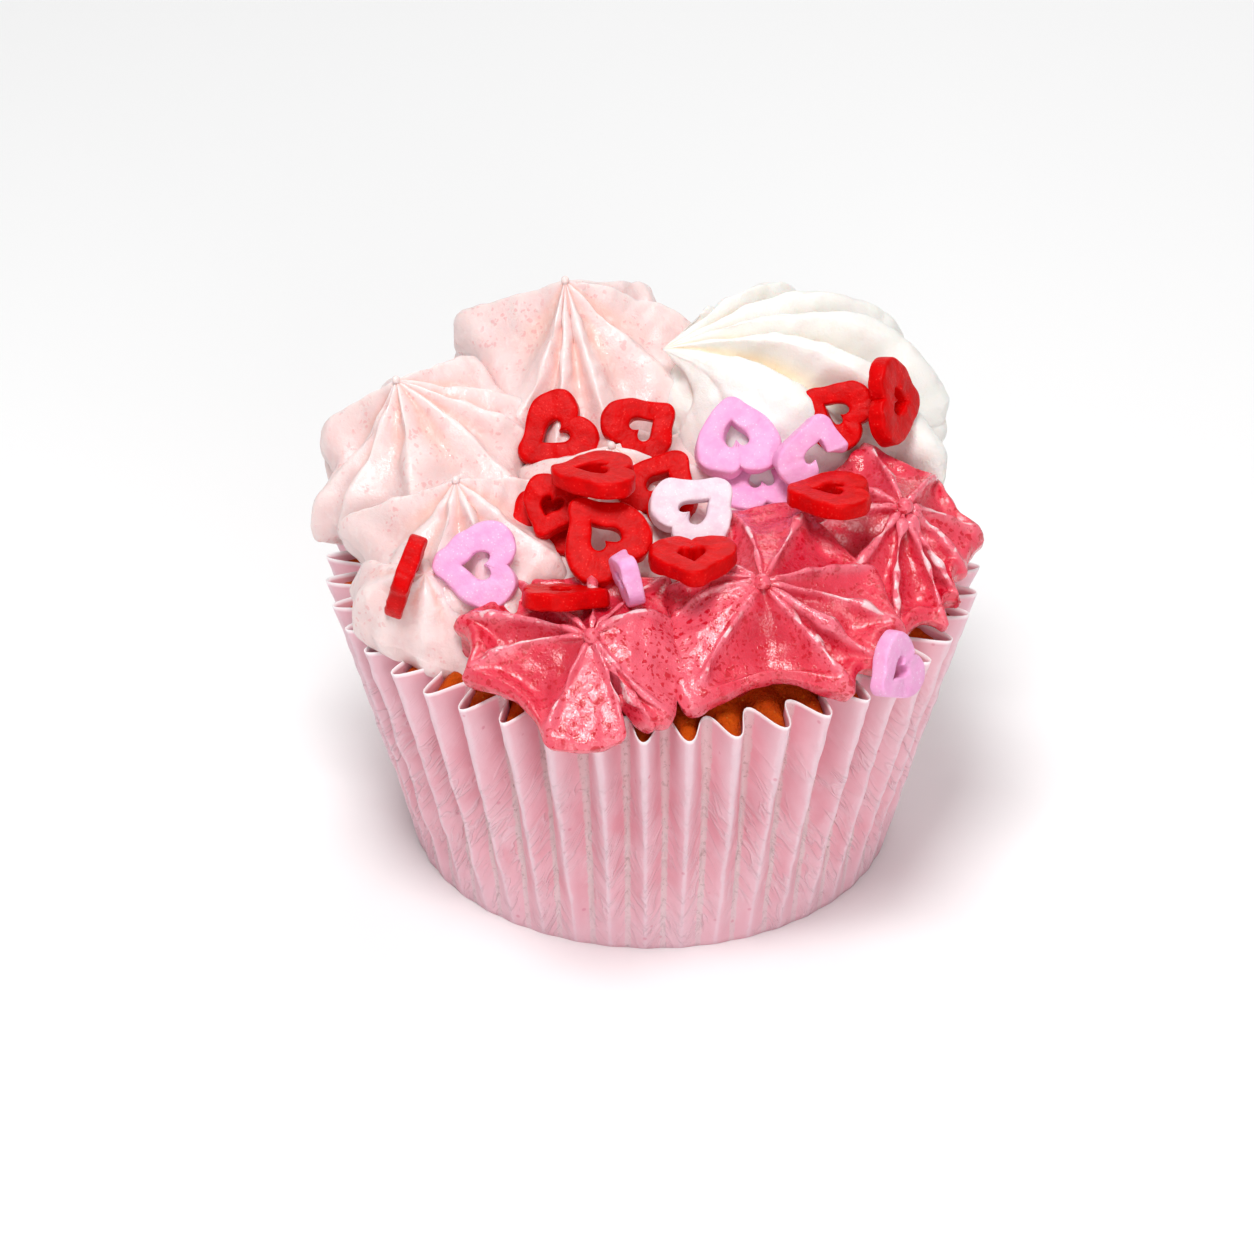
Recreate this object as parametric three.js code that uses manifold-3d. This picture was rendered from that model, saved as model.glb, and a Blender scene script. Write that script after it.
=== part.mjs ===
// Cupcake in a pleated paper case: a domed cake, nine piped dollops of icing in three colours
// and pressed-sugar hearts scattered over them.
// Millimetres, +Z up. The origin is on the floor, under the middle of the case. -Y is the front.

import * as THREE from 'three';
import { mergeVertices } from 'three/addons/utils/BufferGeometryUtils.js';
import Module from 'manifold-3d';

const wasm = await Module();
wasm.setup();

// ---------------------------------------------------------------- driving dimensions

const GAP = 0.3;                 // clearance kept between pieces that touch

const CASE_HEIGHT = 30.8;
const CASE_FLOOR_RADIUS = 25;    // over the outward folds
const CASE_RIM_RADIUS = 33.5;    // over the outward folds
const PAPER = 0.35;
const PLEATS = 44;
const PLEAT_TURN = -91.4;        // degrees from +X to one outward fold
const PLEAT_DEPTH_FLOOR = 0.5;
const PLEAT_DEPTH_RIM = 4.8;
const PLEAT_STEPS = 6;           // sides that round off one pleat

const CAKE_EDGE_Z = 29;          // where the baked side turns into the dome
const CAKE_DOME = 6.8;           // rise of the dome above its edge
const CAKE_FILL = 0.15;          // share of each pleat that the cake has swollen into
const CAKE_STEPS = 2;            // sides that it takes in each pleat
const CAKE_RINGS = [0.95, 0.6];  // shares of its radius at which the dome has a ring

const LEAN_POWER = 1.5;          // how late an off-centre peak swings out from over its foot
const BED = 1.2;                 // depth to which a dollop reaches into the cake before it is cut
const BED_REACH = 0.78;          // share of a ridge's reach at which its side meets the cake
const BED_RADIUS = 27.5;         // a side never meets the cake further out than this
const SIDE_INWARD = 0.3;         // how far in, and down, the side bends on its way to the cake
const SIDE_DOWN = 0.5;
const END_RINGS = [[0.3, 2.6], [0, 1.2]];         // blunt end: [inward, down from the crest]
const CREST_RINGS = [0.94, 0.74, 0.5, 0.27, 0.1];  // shares of a ridge's length from the tip
const HOLLOW_SINK = 3;           // how far a full hollow sinks below its ridges
const STEPS_BETWEEN_RIDGES = 3;
const CUT_TOLERANCE = 0.05;      // slivers thinner than this are merged away after a cut

const HEART_WIDTH = 9;
const HEART_THICKNESS = 2;
const HEART_HOLE = 0.4;          // size of the hole as a share of the outline
const HEART_SPAN = 32;           // width of the heart curve in its own units
const HEART_RISE = 2.4;          // lifts the middle of the curve onto the origin
const HEART_STEPS = 16;
const HEART_HOLE_STEPS = 8;
const HEART_BREAK = 1.42;        // half turns round the curve at which the broken heart stops

const COLOURS = {
  paper: { color: 0xecc0cb, roughness: 0.8, metalness: 0 },
  cake: { color: 0xc27a2e, roughness: 0.9, metalness: 0 },
  pale: { color: 0xf8dbd8, roughness: 0.45, metalness: 0 },
  white: { color: 0xfaf6ec, roughness: 0.45, metalness: 0 },
  berry: { color: 0xdc4c66, roughness: 0.35, metalness: 0 },
  red: { color: 0xc90d12, roughness: 0.5, metalness: 0 },
  pink: { color: 0xf3a0dc, roughness: 0.5, metalness: 0 },
  blush: { color: 0xf4dbe6, roughness: 0.5, metalness: 0 },
};

// Each dollop stands on its foot [x, y] and rises to its tip [x, y, z]. A ridge is
// [azimuth, reach, height of its end, hollow after it, arch]: azimuth in degrees about the foot,
// the hollow as a share pulled out of the face up to the next ridge, the arch in millimetres.
const DOLLOPS = [
  {
    name: 'icing_pale_back', colour: 'pale', foot: [-7, 15], tip: [-9.1, 18.2, 54], arch: 0.6, peak: 1.3,
    ridges: [
      [28, 13, 48], [60, 13.4, 48.6], [102, 13, 47], [150, 16.4, 47], [228, 12.5, 42],
      [256, 13.5, 41], [286, 13.5, 41], [340, 11.4, 44],
    ],
  },
  {
    name: 'icing_white', colour: 'white', foot: [15, 13], tip: [0.9, 12.5, 48.6], arch: 3, peak: 1.3,
    ridges: [
      [2, 15, 43, 0.12, 6], [28, 15.8, 44.6, 0.12, 5], [52, 14.5, 46, 0.12, 4.2],
      [78, 13.5, 47, 0.12, 3.6], [118, 14, 48.4, 0.1, 2.4], [146, 14.6, 48.4, 0.1, 0.6],
      [172, 13.5, 46, 0.1, 0.4], [204, 13.8, 43, 0.1, 0.6], [232, 13, 42, 0.08, 2], [264, 12, 41, 0.1, 4.4],
      [296, 13, 40, 0.1, 6], [328, 17.5, 39, 0.12, 7.2],
    ],
  },
  {
    name: 'icing_pale_centre', colour: 'pale', foot: [-3, -2], tip: [-4.2, 1, 44.4], arch: 0.6, peak: 1.5,
    ridges: [
      [12, 16.4, 39.4], [52, 15, 41.2], [98, 13, 41.8], [150, 12.5, 40.4], [205, 14, 38.6],
      [246, 15, 37.2], [290, 13.4, 37], [330, 14.4, 38],
    ],
  },
  {
    name: 'icing_pale_left', colour: 'pale', foot: [-20, 6], tip: [-26.2, 7.4, 48.3], arch: 1, peak: 1.3,
    ridges: [
      [20, 10, 43], [80, 13, 44.5], [125, 13, 42.5], [170, 14.8, 42.8], [195, 16.5, 35, 0.1],
      [212, 15, 37.5], [247, 12.5, 40], [313, 10.5, 39.5], [355, 8, 43],
    ],
  },
  {
    name: 'icing_pale_low', colour: 'pale', foot: [-21.5, -15], tip: [-22.5, -16.5, 39.5], arch: 1.2, peak: 1.5,
    ridges: [
      [40, 9, 36, 0.1], [100, 10, 36, 0.1], [146, 11.4, 35.5, 0.1], [182, 10.4, 35, 0.12],
      [212, 9.5, 33.5, 0.12], [245, 7.5, 32.5, 0.12], [285, 7.4, 32, 0.1], [340, 9, 33.5, 0.1],
    ],
  },
  {
    name: 'icing_pale_front', colour: 'pale', foot: [-18, -9], tip: [-19.7, -6.9, 45], arch: 0.8, peak: 1.5,
    ridges: [
      [45, 11, 41], [100, 8, 42], [160, 15.2, 39], [205, 11, 36, 0.1], [243, 11.5, 37.5],
      [290, 12.6, 37.4], [335, 8.5, 40],
    ],
  },
  {
    name: 'icing_berry_right', colour: 'berry', foot: [24, -7], tip: [25.3, -6, 42], arch: 1.6, peak: 1.8,
    ridges: [
      [20, 10.6, 36.5], [62, 11.3, 39.6], [103, 12.5, 42], [150, 11, 40.5], [185, 9.5, 38.8],
      [232, 10, 35.6, 0.1], [272, 12, 33.4], [304, 10, 33.4], [325, 9.2, 34], [350, 7.6, 35.5, 0.05],
    ],
  },
  {
    name: 'icing_berry_middle', colour: 'berry', foot: [12.5, -20], tip: [10.8, -18.7, 40.9], arch: 1.6, peak: 1.8,
    ridges: [
      [38, 13.4, 37.4], [80, 18, 39.8, 0.08], [109, 17, 39.6], [142, 13, 38], [163, 12.6, 37.6, 0.05],
      [182, 10.8, 37.4, 0],
      [206, 12.2, 35.6, 0], [230, 14.2, 33.4, 0.3], [315, 10.8, 33], [338, 12, 34], [2, 13, 35.4, 0.1],
    ],
  },
  {
    name: 'icing_berry_front', colour: 'berry', foot: [-7, -25], tip: [-5.95, -26, 39.2], arch: 1.6, peak: 1.8,
    ridges: [
      [22, 9.8, 37.2, 0.1], [50, 14.4, 37.4], [88, 11.5, 38], [125, 14, 37], [160, 14, 36.6], [188, 12.4, 34.4],
      [250, 10.4, 32, 0], [278, 10.2, 31.8, 0], [297, 9.8, 32.8, 0.35], [311, 10.6, 33, 0.05],
      [320, 11.3, 33, 0], [352, 10.6, 35.6, 0],
    ],
  },
];
const DEFAULT_HOLLOW = 0.2;

// Each heart: name, colour, [x, y], the way its face looks as [azimuth, tilt from straight up] and
// then the way its point shows from the front, all in degrees, its size as a share of HEART_WIDTH
// and how far it sinks into the icing, HEART_SINK unless given. They fall in this order.
const HEARTS = [
  ['heart_red_front_edge', 'red', [-8.5, -20.5], [90, 25, 0], 1],
  ['heart_red_leaning', 'red', [-11, -8], [-105, 42, 120], 1, 5.7],
  ['heart_red_tucked', 'red', [-10, -9], [-100, 42, 250], 0.75, 6],
  ['heart_red_behind', 'red', [1, -3.5], [-105, 40, 60], 0.95, 2.5],
  ['heart_red_large', 'red', [-5, -13.5], [-88, 40, 130], 1.05],
  ['heart_blush', 'blush', [4.5, -8], [-80, 38, 40], 1],
  ['heart_red_flat', 'red', [4, -18.5], [120, 6, 270], 1, 0.4],
  ['heart_pink_on_end', 'pink', [-2.5, -20], [20, 80, 90], 0.6, 1],
  ['heart_red_lying', 'red', [-6, -9], [90, 8, 180], 1],
  ['heart_red_back_left', 'red', [-10, 5], [-95, 46, 215], 0.95],
  ['heart_red_back_right', 'red', [-1, 3.5], [-85, 46, 35], 0.9, 3],
  ['heart_pink_low', 'pink', [11, 0.5], [-90, 22, 100], 0.95, 3.2],
  ['heart_pink_back', 'pink', [8.5, 2], [-85, 38, 100], 1],
  ['heart_red_arch', 'red', [18.5, 5], [-100, 50, 150], 0.85, 3],
  ['heart_pink_broken', 'pink', [16.5, -1], [-80, 58, 85], 0.9, 3.4],
  ['heart_red_right_edge', 'red', [17.5, -8], [90, 8, 180], 1, 1.5],
  ['heart_red_upright', 'red', [24.5, 5], [-25, 72, 0], 1, 3],
  ['heart_red_left_edge', 'red', [-24.5, -17.5], [170, 74, 255], 0.95, 4],
  ['heart_pink_left', 'pink', [-17.5, -16], [-95, 50, 180], 1],
  ['heart_pink_rim', 'pink', [23.5, -24.5], [-40, 52, 225], 0.8, 1.7],
];
const LOOK_DOWN = 33;            // degrees by which the look from the front points down
const HEART_SINK = 2.2;
const DROP_FROM = 60;            // hearts are let down from this height
const DROP_STEP = 0.5;
const DROP_TOLERANCE = 0.01;
const BROKEN_HEART = 'heart_pink_broken';

// ---------------------------------------------------------------- helpers

const radians = THREE.MathUtils.degToRad;
const lerp = THREE.MathUtils.lerp;

// A closed surface from rings of equal length, counter-clockwise from above, between two poles.
function ringSurface(startPole, rings, endPole) {
  const count = rings[0].length;
  const points = [startPole, ...rings.flat(), endPole];
  const at = (ring, step) => 1 + ring * count + (step % count);
  const last = points.length - 1;
  const index = [];
  for (let step = 0; step < count; step += 1) {
    index.push(0, at(0, step + 1), at(0, step));
    for (let ring = 0; ring + 1 < rings.length; ring += 1) {
      const [a, b] = [at(ring, step), at(ring, step + 1)];
      const [c, d] = [at(ring + 1, step + 1), at(ring + 1, step)];
      index.push(a, b, c, a, c, d);
    }
    index.push(last, at(rings.length - 1, step), at(rings.length - 1, step + 1));
  }
  return { points: points.flat(), index };
}

// A surface as a solid that can be joined and cut.
function solid({ points, index }) {
  return new wasm.Manifold(new wasm.Mesh({
    numProp: 3,
    vertProperties: new Float32Array(points),
    triVerts: new Uint32Array(index),
  }));
}

// The largest piece of a solid: cutting can leave loose scraps behind.
function largest(body) {
  const pieces = body.decompose();
  return pieces.reduce((best, piece) => (piece.volume() > best.volume() ? piece : best));
}

function meshOf(name, surface, colour) {
  const geometry = new THREE.BufferGeometry();
  geometry.setAttribute('position', new THREE.Float32BufferAttribute(surface.points, 3));
  geometry.setIndex(surface.index);
  geometry.computeVertexNormals();
  const mesh = new THREE.Mesh(geometry, new THREE.MeshStandardMaterial(COLOURS[colour]));
  mesh.name = name;
  return mesh;
}

function surfaceOf(body) {
  const { vertProperties, triVerts } = body.getMesh();
  return { points: Array.from(vertProperties), index: Array.from(triVerts) };
}

// ---------------------------------------------------------------- paper case and cake

// Radius of the paper's outer face: a cosine wave round the outward-leaning wall.
function caseRadius(angle, height) {
  const share = height / CASE_HEIGHT;
  const overFolds = lerp(CASE_FLOOR_RADIUS, CASE_RIM_RADIUS, share);
  const depth = lerp(PLEAT_DEPTH_FLOOR, PLEAT_DEPTH_RIM, share);
  const wave = Math.cos(PLEATS * (angle - radians(PLEAT_TURN)));
  return overFolds - depth * (1 - wave) / 2;
}

// One ring of the case at a height, moved inwards square to the wavy paper.
function caseRing(height, inset, z = height) {
  const count = PLEATS * PLEAT_STEPS;
  const turn = radians(PLEAT_TURN);
  const step = 2 * Math.PI / count;
  const point = (angle) => {
    const radius = caseRadius(angle, height);
    return new THREE.Vector2(radius * Math.cos(angle), radius * Math.sin(angle));
  };
  return Array.from({ length: count }, (_, i) => {
    const angle = turn + i * step;
    const along = point(angle + step / 2).sub(point(angle - step / 2)).normalize();
    const { x, y } = point(angle);
    return [x - along.y * inset, y + along.x * inset, z];
  });
}

function paperCase() {
  const rings = [
    caseRing(0, 0),
    caseRing(CASE_HEIGHT, 0),
    caseRing(CASE_HEIGHT, PAPER),
    caseRing(0, PAPER, PAPER),
  ];
  return ringSurface([0, 0, 0], rings, [0, 0, PAPER]);
}

// The cake swells part of the way into each pleat.
function cakeRadius(angle, height, share) {
  const clear = PAPER + GAP;
  const fold = radians(PLEAT_TURN);
  const base = caseRadius(fold + Math.PI / PLEATS, height) - clear;
  const depth = caseRadius(fold, height) - caseRadius(fold + Math.PI / PLEATS, height);
  const wave = (1 + Math.cos(PLEATS * (angle - fold))) / 2;
  return (base + CAKE_FILL * depth * wave) * share;
}

function domeHeight(x, y) {
  const inner = caseRadius(radians(PLEAT_TURN) + Math.PI / PLEATS, CAKE_EDGE_Z) - PAPER - GAP;
  return CAKE_EDGE_Z + CAKE_DOME * (1 - (x * x + y * y) / (inner * inner));
}

function cakeRing(height, share, dome) {
  const count = PLEATS * CAKE_STEPS;
  return Array.from({ length: count }, (_, i) => {
    const angle = radians(PLEAT_TURN) + i * 2 * Math.PI / count;
    const radius = cakeRadius(angle, height, share);
    const [x, y] = [radius * Math.cos(angle), radius * Math.sin(angle)];
    return [x, y, dome ? Math.max(domeHeight(x, y), height) : height];
  });
}

function cake(lift = 0) {
  const floor = PAPER + GAP;
  const raise = (ring) => ring.map(([x, y, z]) => [x, y, z + lift]);
  const rings = [
    cakeRing(floor, 1, false),
    raise(cakeRing(CAKE_EDGE_Z, 1, false)),
    ...CAKE_RINGS.map((share) => raise(cakeRing(CAKE_EDGE_Z, share, true))),
  ];
  return ringSurface([0, 0, floor], rings, [0, 0, domeHeight(0, 0) + lift]);
}

// The room that the case and the cake take up, for cutting icing that rests on them.
function caseEnvelope() {
  const count = PLEATS * CAKE_STEPS;
  const ring = (radius, z) => Array.from({ length: count }, (_, i) => {
    const angle = i * 2 * Math.PI / count;
    return [radius * Math.cos(angle), radius * Math.sin(angle), z];
  });
  const rim = CASE_RIM_RADIUS + GAP;
  const top = CASE_HEIGHT + GAP;
  const rings = [ring(CASE_FLOOR_RADIUS + GAP, -GAP), ring(rim, CASE_HEIGHT), ring(rim - GAP, top)];
  return ringSurface([0, 0, -GAP], rings, [0, 0, top]);
}

// ---------------------------------------------------------------- piped icing

// A point on a ridge's crest: t runs from 0 at the tip to 1 at the ridge's end.
function crestPoint({ foot, tip, peak, arch }, [azimuth, reach, end, , ridgeArch], t, grow) {
  const angle = radians(azimuth);
  const swing = (1 - t) ** LEAN_POWER;
  const run = (reach + grow) * t;
  return [
    foot[0] + run * Math.cos(angle) + (tip[0] - foot[0]) * swing,
    foot[1] + run * Math.sin(angle) + (tip[1] - foot[1]) * swing,
    grow + end + (tip[2] - end) * (1 - t) ** peak + (ridgeArch ?? arch) * Math.sin(Math.PI * t),
  ];
}

// Where a ridge's side meets the cake: short of its reach, and always inside the paper.
function bedPoint({ foot }, [azimuth, reach], grow) {
  const run = (reach + grow) * BED_REACH;
  const px = foot[0] + run * Math.cos(radians(azimuth));
  const py = foot[1] + run * Math.sin(radians(azimuth));
  const inside = Math.min(1, BED_RADIUS / Math.hypot(px, py));
  return [px * inside, py * inside, domeHeight(px * inside, py * inside) - BED - grow];
}

// The blunt end of a ridge: a rounded shoulder, here pulled inward and dropped from the crest.
function endPoint(dollop, ridge, [inward, drop], grow) {
  const [azimuth, reach, end] = ridge;
  const [x, y] = dollop.foot;
  const run = reach + grow - inward;
  const bed = bedPoint(dollop, ridge, grow)[2];
  return [
    x + run * Math.cos(radians(azimuth)),
    y + run * Math.sin(radians(azimuth)),
    Math.max(end - drop + grow, bed),
  ];
}

// The side below the blunt end, part of the way down to the bed.
function sidePoint(dollop, ridge, grow) {
  const from = endPoint(dollop, ridge, END_RINGS[0], grow);
  const to = bedPoint(dollop, ridge, grow);
  return from.map((value, k) => lerp(value, to[k], k < 2 ? SIDE_INWARD : SIDE_DOWN));
}

// Ring of a dollop: straight faces between neighbouring ridges, hollowed towards the axis.
function dollopRing({ foot, tip, ridges }, points, t) {
  const swing = t < 1 ? (1 - t) ** LEAN_POWER : 0;
  const axis = [foot[0] + (tip[0] - foot[0]) * swing, foot[1] + (tip[1] - foot[1]) * swing];
  return ridges.flatMap((ridge, i) => {
    const [from, to] = [points[i], points[(i + 1) % points.length]];
    const hollow = ridge[3] ?? DEFAULT_HOLLOW;
    return Array.from({ length: STEPS_BETWEEN_RIDGES }, (_, step) => {
      const share = step / STEPS_BETWEEN_RIDGES;
      const pull = hollow * 4 * share * (1 - share);
      const [x, y, z] = [0, 1, 2].map((k) => lerp(from[k], to[k], share));
      return [lerp(x, axis[0], pull), lerp(y, axis[1], pull), z - pull * HOLLOW_SINK * t];
    });
  });
}

function dollopSurface(dollop, grow = 0) {
  const { foot, tip, ridges } = dollop;
  const ring = (pointOf, t) => dollopRing(dollop, ridges.map(pointOf), t);
  const rings = [
    ring((ridge) => bedPoint(dollop, ridge, grow), 1),
    ring((ridge) => sidePoint(dollop, ridge, grow), 1),
    ...END_RINGS.map((end) => ring((ridge) => endPoint(dollop, ridge, end, grow), 1)),
    ...CREST_RINGS.map((t) => ring((ridge) => crestPoint(dollop, ridge, t, grow), t)),
  ];
  const bottom = [foot[0], foot[1], domeHeight(...foot) - 2 * BED - grow];
  return ringSurface(bottom, rings, [tip[0], tip[1], tip[2] + grow]);
}

// ---------------------------------------------------------------- pressed-sugar hearts

// A point on the classic heart curve, 1 wide, with its point towards -Y.
function heartPoint(turn, width) {
  const x = 16 * Math.sin(turn) ** 3;
  const y = 13 * Math.cos(turn) - 5 * Math.cos(2 * turn) - 2 * Math.cos(3 * turn) - Math.cos(4 * turn);
  return new THREE.Vector2(x * width / HEART_SPAN, (y + HEART_RISE) * width / HEART_SPAN);
}

function heartArc(width, steps, end) {
  return Array.from({ length: steps }, (_, i) => heartPoint(end * i / steps, width));
}

function extruded(shape, thickness) {
  const geometry = new THREE.ExtrudeGeometry(shape, { depth: thickness, bevelEnabled: false });
  geometry.translate(0, 0, -thickness / 2);
  geometry.deleteAttribute('normal');
  geometry.deleteAttribute('uv');
  return mergeVertices(geometry, 1e-4);
}

// A ring of the heart's outline round a smaller heart, or an open hook of it where it is broken.
function heartGeometry(width, broken) {
  const whole = 2 * Math.PI;
  if (broken) {
    const end = HEART_BREAK * Math.PI;
    const outside = heartArc(width, HEART_STEPS, end);
    const inside = heartArc(width * HEART_HOLE, HEART_HOLE_STEPS, end).reverse();
    return extruded(new THREE.Shape([...outside, ...inside]), HEART_THICKNESS);
  }
  const shape = new THREE.Shape(heartArc(width, HEART_STEPS, whole));
  const hole = heartArc(width * HEART_HOLE, HEART_HOLE_STEPS, whole).reverse();
  shape.holes.push(new THREE.Path(hole));
  return extruded(shape, HEART_THICKNESS);
}

// The spin about its own axis that makes the point of a turned heart show, from the front, along
// a direction of so many degrees: 0 is to the right and 90 is up.
function spinFor(turn, point) {
  const look = radians(LOOK_DOWN);
  const up = new THREE.Vector3(0, Math.sin(look), Math.cos(look));
  const [side, tip] = [[1, 0, 0], [0, -1, 0]].map((axis) => {
    const way = new THREE.Vector3(...axis).applyEuler(turn);
    return new THREE.Vector2(way.x, way.dot(up));
  });
  const wanted = new THREE.Vector2(Math.cos(radians(point)), Math.sin(radians(point)));
  const area = side.cross(tip);
  return Math.atan2(wanted.cross(tip) / area, side.cross(wanted) / area);
}

// Spins a geometry and sets it on a mesh whose face looks along azimuth and tilt.
function placeHeart(mesh, [azimuth, tilt, point], x, y, z) {
  mesh.rotation.set(0, radians(tilt), radians(azimuth), 'ZYX');
  mesh.geometry.rotateZ(spinFor(mesh.rotation, point));
  mesh.position.set(x, y, z);
  mesh.updateMatrixWorld(true);
}

function heart([name, colour, [x, y], facing, size], z) {
  const geometry = heartGeometry(HEART_WIDTH * size, name === BROKEN_HEART);
  geometry.computeVertexNormals();
  const mesh = new THREE.Mesh(geometry, new THREE.MeshStandardMaterial(COLOURS[colour]));
  mesh.name = name;
  placeHeart(mesh, facing, x, y, z);
  return mesh;
}

// A heart's filled outline as a solid, grown all over.
function heartSolid([, , [x, y], facing, size], z, grow) {
  const width = HEART_WIDTH * size + 2 * grow;
  const shape = new THREE.Shape(heartArc(width, HEART_STEPS, 2 * Math.PI));
  const mesh = new THREE.Mesh(extruded(shape, HEART_THICKNESS + 2 * grow));
  placeHeart(mesh, facing, x, y, z);
  const geometry = mesh.geometry.applyMatrix4(mesh.matrixWorld);
  return solid({ points: geometry.attributes.position.array, index: geometry.index.array });
}

// Height at which a body let down from above first touches what lies below it.
function restingHeight(body, below) {
  const touches = (z) => !body.translate([0, 0, z]).intersect(below).isEmpty();
  let high = DROP_FROM;
  while (high > 0 && !touches(high - DROP_STEP)) {
    high -= DROP_STEP;
  }
  let low = high - DROP_STEP;
  while (high - low > DROP_TOLERANCE) {
    const middle = (high + low) / 2;
    [low, high] = touches(middle) ? [middle, high] : [low, middle];
  }
  return high;
}

// Drops the hearts in turn: each sinks into the icing, and rests on hearts that fell before it.
function settle(rows, icing) {
  let fallen = null;
  return rows.map((row) => {
    const sink = row[5] ?? HEART_SINK;
    const inIcing = restingHeight(heartSolid(row, 0, 0), icing) - sink;
    const onHearts = fallen ? restingHeight(heartSolid(row, 0, GAP / 2), fallen) : 0;
    const z = Math.max(inIcing, onHearts);
    const body = heartSolid(row, z, GAP / 2);
    fallen = fallen ? fallen.add(body) : body;
    return z;
  });
}

// ---------------------------------------------------------------- assembly

const cupcake = new THREE.Group();
cupcake.add(meshOf('paper_case', paperCase(), 'paper'));
cupcake.add(meshOf('cake', cake(), 'cake'));

const icing = DOLLOPS.reduce((all, dollop) => all.add(solid(dollopSurface(dollop))), solid(cake()));
const heights = settle(HEARTS, icing);

// Room already taken, a gap larger than what fills it. Each dollop is cut by all of it.
let taken = solid(cake(GAP)).add(solid(caseEnvelope()));
HEARTS.forEach((row, i) => {
  taken = taken.add(heartSolid(row, heights[i], GAP));
});
for (const dollop of DOLLOPS) {
  const body = largest(solid(dollopSurface(dollop)).subtract(taken).simplify(CUT_TOLERANCE));
  taken = taken.add(solid(dollopSurface(dollop, GAP)));
  cupcake.add(meshOf(dollop.name, surfaceOf(body), dollop.colour));
}
HEARTS.forEach((row, i) => {
  cupcake.add(heart(row, heights[i]));
});

export default cupcake;
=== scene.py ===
"""A cupcake in a pleated paper case, with nine piped dollops of icing and pressed-sugar hearts.

Every new surface is worked out with numpy in millimetres and put into its mesh in metres.
The tables of dollops and hearts give each ridge and each heart its place on the cake.
"""

import math
import bpy
import numpy as np
from bpy.props import (
    FloatProperty,
    FloatVectorProperty,
    IntProperty,
    PointerProperty,
)
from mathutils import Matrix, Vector


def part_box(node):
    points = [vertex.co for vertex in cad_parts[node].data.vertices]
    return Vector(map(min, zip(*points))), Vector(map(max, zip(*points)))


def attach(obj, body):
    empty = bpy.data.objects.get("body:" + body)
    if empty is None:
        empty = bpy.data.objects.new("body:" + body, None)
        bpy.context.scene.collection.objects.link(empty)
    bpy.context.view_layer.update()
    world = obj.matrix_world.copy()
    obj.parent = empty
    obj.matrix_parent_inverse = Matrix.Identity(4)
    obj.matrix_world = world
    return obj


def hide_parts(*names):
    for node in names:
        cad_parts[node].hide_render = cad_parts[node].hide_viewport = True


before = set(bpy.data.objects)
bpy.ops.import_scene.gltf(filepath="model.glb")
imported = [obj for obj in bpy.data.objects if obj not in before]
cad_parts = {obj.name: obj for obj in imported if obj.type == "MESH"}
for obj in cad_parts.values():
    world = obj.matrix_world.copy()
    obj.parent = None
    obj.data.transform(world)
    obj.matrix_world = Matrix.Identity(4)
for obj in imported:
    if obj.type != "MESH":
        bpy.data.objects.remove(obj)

bl_info = {
    "name": "Piped Cupcake",
    "version": (1, 0, 0),
    "blender": (4, 5, 0),
    "location": "View3D > Sidebar > Cupcake",
    "description": "Pleated paper case, sponge, piped icing and sugar hearts",
    "category": "Add Mesh",
}

MM = 0.001
RIM_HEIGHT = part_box("paper_case")[1].z / MM
RIM_RADIUS = 33.5
FLOOR_DEPTH = 0.15             # of the pleats at the floor
FIRST_FOLD = -91.4             # degrees from +X to one outward fold
CREASE_SLOPE = 3.2             # by which the paper's creases fall from an outward to an inward fold
INWARD_FOLDS = (24.5, 28.7)    # radius over them, at the floor and at the rim
CAKE_GAP = 0.65                # from the inward folds and the floor to the sponge
CASE_COLUMNS, CAKE_COLUMNS, CASE_ROWS = 16, 10, 60    # columns in each pleat, rows up the wall

# ---------------------------------------------------------------- the piped dollops

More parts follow.
